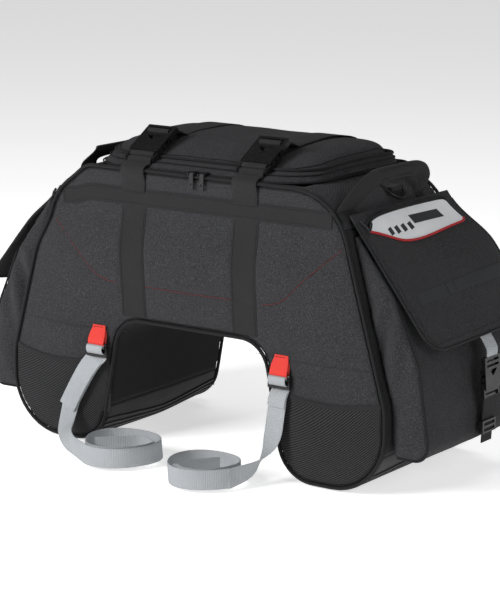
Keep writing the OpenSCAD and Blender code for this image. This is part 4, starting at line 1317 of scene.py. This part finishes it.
def strap_run(name, body, keys, rolled=(), *nodes):
    """keys: x, y off the lock's bar, z and the width's direction; rolled: points on edge on the floor that follow."""
    points = [(x, BAR_Y + off, z) for x, off, z, _ in keys] + list(rolled)
    wide = [key[3] for key in keys]
    wide += [(0.06 * math.sin(i * 0.21), 0.05 * math.cos(i * 0.17), 1.0) for i in range(len(rolled))]
    both = spline(np.hstack([np.array(points, float), np.array(wide, float)]), 4)
    on(body, ribbon(name, both[:, :3], both[:, 3:], NARROW_WEB, "grey_webbing"), *nodes)


def mount_straps():
    rolled = coil((70, -190), (49, 39), -12, 470, 1)
    rolled += [(x, y, COIL_MID_Z) for x, y in ((78, -170), (64, -186), (52, -204))]
    strap_run("front_right_strap", "front_strap_right", FRONT_RIGHT_RUN, rolled, "mount_strap_right")
    rolled = coil((75, -172), (54, 42), -56, 500, -1)
    rolled += [(x, y, COIL_MID_Z) for x, y in ((-60, -150), (-84, -170), (-104, -188))]
    strap_run("front_left_strap", "front_strap_left", FRONT_LEFT_RUN, rolled, "mount_strap_left")
    for side_name, s, tail in (("left", -1, FRONT_LEFT_TAIL), ("right", 1, FRONT_RIGHT_TAIL)):
        roll = [(s * FRONT_TAB_X, off, z, ACROSS) for off, z in LOCK_ROLL]
        strap_run(f"front_{side_name}_tail", f"front_strap_{side_name}", roll + tail)
    for side_name, s in SIDES:
        run = [(s * (REAR_TAB_X + dx), off - 2 * BAR_Y, z, ACROSS) for dx, off, z in (
            (0, -0.5, -41.5), (0, 2.6, -44.6), (0, 3.6, -50), (0, 3.9, -70), (1.5, 3.4, -105), (1, 4.4, -149))]
        strap_run(f"rear_strap_{side_name}", "rear_straps", run, (), "rear_mount_straps")


anchor_tabs()
mount_straps()


# ---------------------------------------------------------------- moulded ribs under the lobes


def tread_ribs():
    outline = resample(rounded(BODY_CORNERS, 14), step=1.0, closed=True)
    lobe = outline[(outline[:, 0] > 120) & (outline[:, 1] < TREAD_Z - 6)]
    line = resample(lobe[np.argsort(np.arctan2(lobe[:, 1] + 100, lobe[:, 0] - 215))], step=1.0)
    step = np.gradient(line, axis=0)
    step /= np.linalg.norm(step, axis=1)[:, None]
    out = np.stack([step[:, 1], -step[:, 0]], 1)
    ys = np.concatenate([np.linspace(FRONT + 3.5, -3, 9), np.linspace(3, REAR - 3.5, 9)])
    for side_name, s in SIDES:
        parts = []
        for k in range(14, len(line) - 26, 9):
            high, low = [], []
            for y in ys:
                shift = int(11 * (1 - abs(y) / REAR))
                index = [min(k + shift + w, len(line) - 1) for w in (0, 1, 4, 5)]
                rise = np.array([0.3, 1.0, 1.0, 0.3])[:, None] * 1.5
                high.append([(s * x, y, z) for x, z in line[index] + out[index] * rise])
                low.append([(s * x, y, z) for x, z in line[index] - out[index] * 0.6])
            a, b = slump(np.array(high)), slump(np.array(low))
            if s > 0:
                a, b = a[:, ::-1], b[:, ::-1]
            parts.append(grid_slab(a, b))
        on("bag", new_object(f"tread_ribs_{side_name}", *with_slot(joined(parts), "tread_fabric")))


tread_ribs()


# ---------------------------------------------------------------- stage, light and camera

LAMPS = {  # place, target, size in metres and power in watts
    "key": ((-1.3, -2.9, 1.7), (0.0, 0.0, 0.05), 1.4, 130.0),
    "fill": ((2.8, -0.9, 1.1), (0.2, 0.0, 0.05), 1.2, 26.0),
    "top": ((0.3, 0.6, 2.6), (0.0, 0.0, 0.1), 1.6, 18.0),
}


def stage():
    size = 9000
    z = FLOOR - 3.5
    floor = new_object("floor", [(-size, -size, z), (size, -size, z), (size, size, z), (-size, size, z)],
                       [[0, 1, 2, 3]], None, angle=None, look="floor_paper")
    scene = bpy.context.scene
    world = bpy.data.worlds.new("studio")
    world.use_nodes = True
    tree = world.node_tree
    way = tree.nodes.new("ShaderNodeTexCoord")
    parts = tree.nodes.new("ShaderNodeSeparateXYZ")
    dome = tree.nodes.new("ShaderNodeMapRange")
    tree.links.new(way.outputs["Generated"], parts.inputs[0])
    tree.links.new(parts.outputs[2], dome.inputs["Value"])
    for key, value in (("From Min", 0.12), ("From Max", 0.75), ("To Min", 1.25), ("To Max", 0.75)):
        dome.inputs[key].default_value = value
    seen = tree.nodes.new("ShaderNodeLightPath")
    bright = tree.nodes.new("ShaderNodeMath")
    bright.operation = "MAXIMUM"
    tree.links.new(dome.outputs["Result"], bright.inputs[0])
    tree.links.new(seen.outputs["Is Camera Ray"], bright.inputs[1])
    tree.links.new(bright.outputs[0], tree.nodes["Background"].inputs["Strength"])
    scene.world = world
    scene.view_settings.view_transform = "Standard"
    for name, (place, target, size_m, power) in LAMPS.items():
        light = bpy.data.lights.new(name, "AREA")
        light.energy = power
        light.size = size_m
        lamp = bpy.data.objects.new(name, light)
        lamp.location = place
        lamp.rotation_euler = (Vector(target) - Vector(place)).to_track_quat("-Z", "Y").to_euler()
        scene.collection.objects.link(lamp)


def camera():
    cam = bpy.data.cameras.new("camera")
    cam.sensor_width = 36.0
    cam.lens = 141.8
    obj = bpy.data.objects.new("camera", cam)
    obj.location = (1.7248, -2.4220, 0.6648)
    obj.rotation_euler = (math.radians(90 - 12.31), 0, math.radians(35.41))
    bpy.context.scene.collection.objects.link(obj)
    bpy.context.scene.camera = obj


def finish_cad_nodes():
    """Gives every CAD node that stays its material, and softens the edges of moulded parts."""
    slots = {row["node"]: row["material_slot"] for row in frame["record"]["subparts"]}
    bevels = {"buckle_plastic": 0.55, "pull_rubber": 0.4, "slider_metal": 0.3}
    for name, obj in frame["nodes"].items():
        obj.data.materials.clear()
        obj.data.materials.append(MATERIALS[slots[name]])
        if slots[name] in bevels:
            mod = obj.modifiers.new("Bevel", "BEVEL")
            mod.width = bevels[slots[name]] * MM
            mod.segments = 2
            mod.limit_method = "ANGLE"
            mod.angle_limit = math.radians(40)


finish_cad_nodes()
stage()
camera()
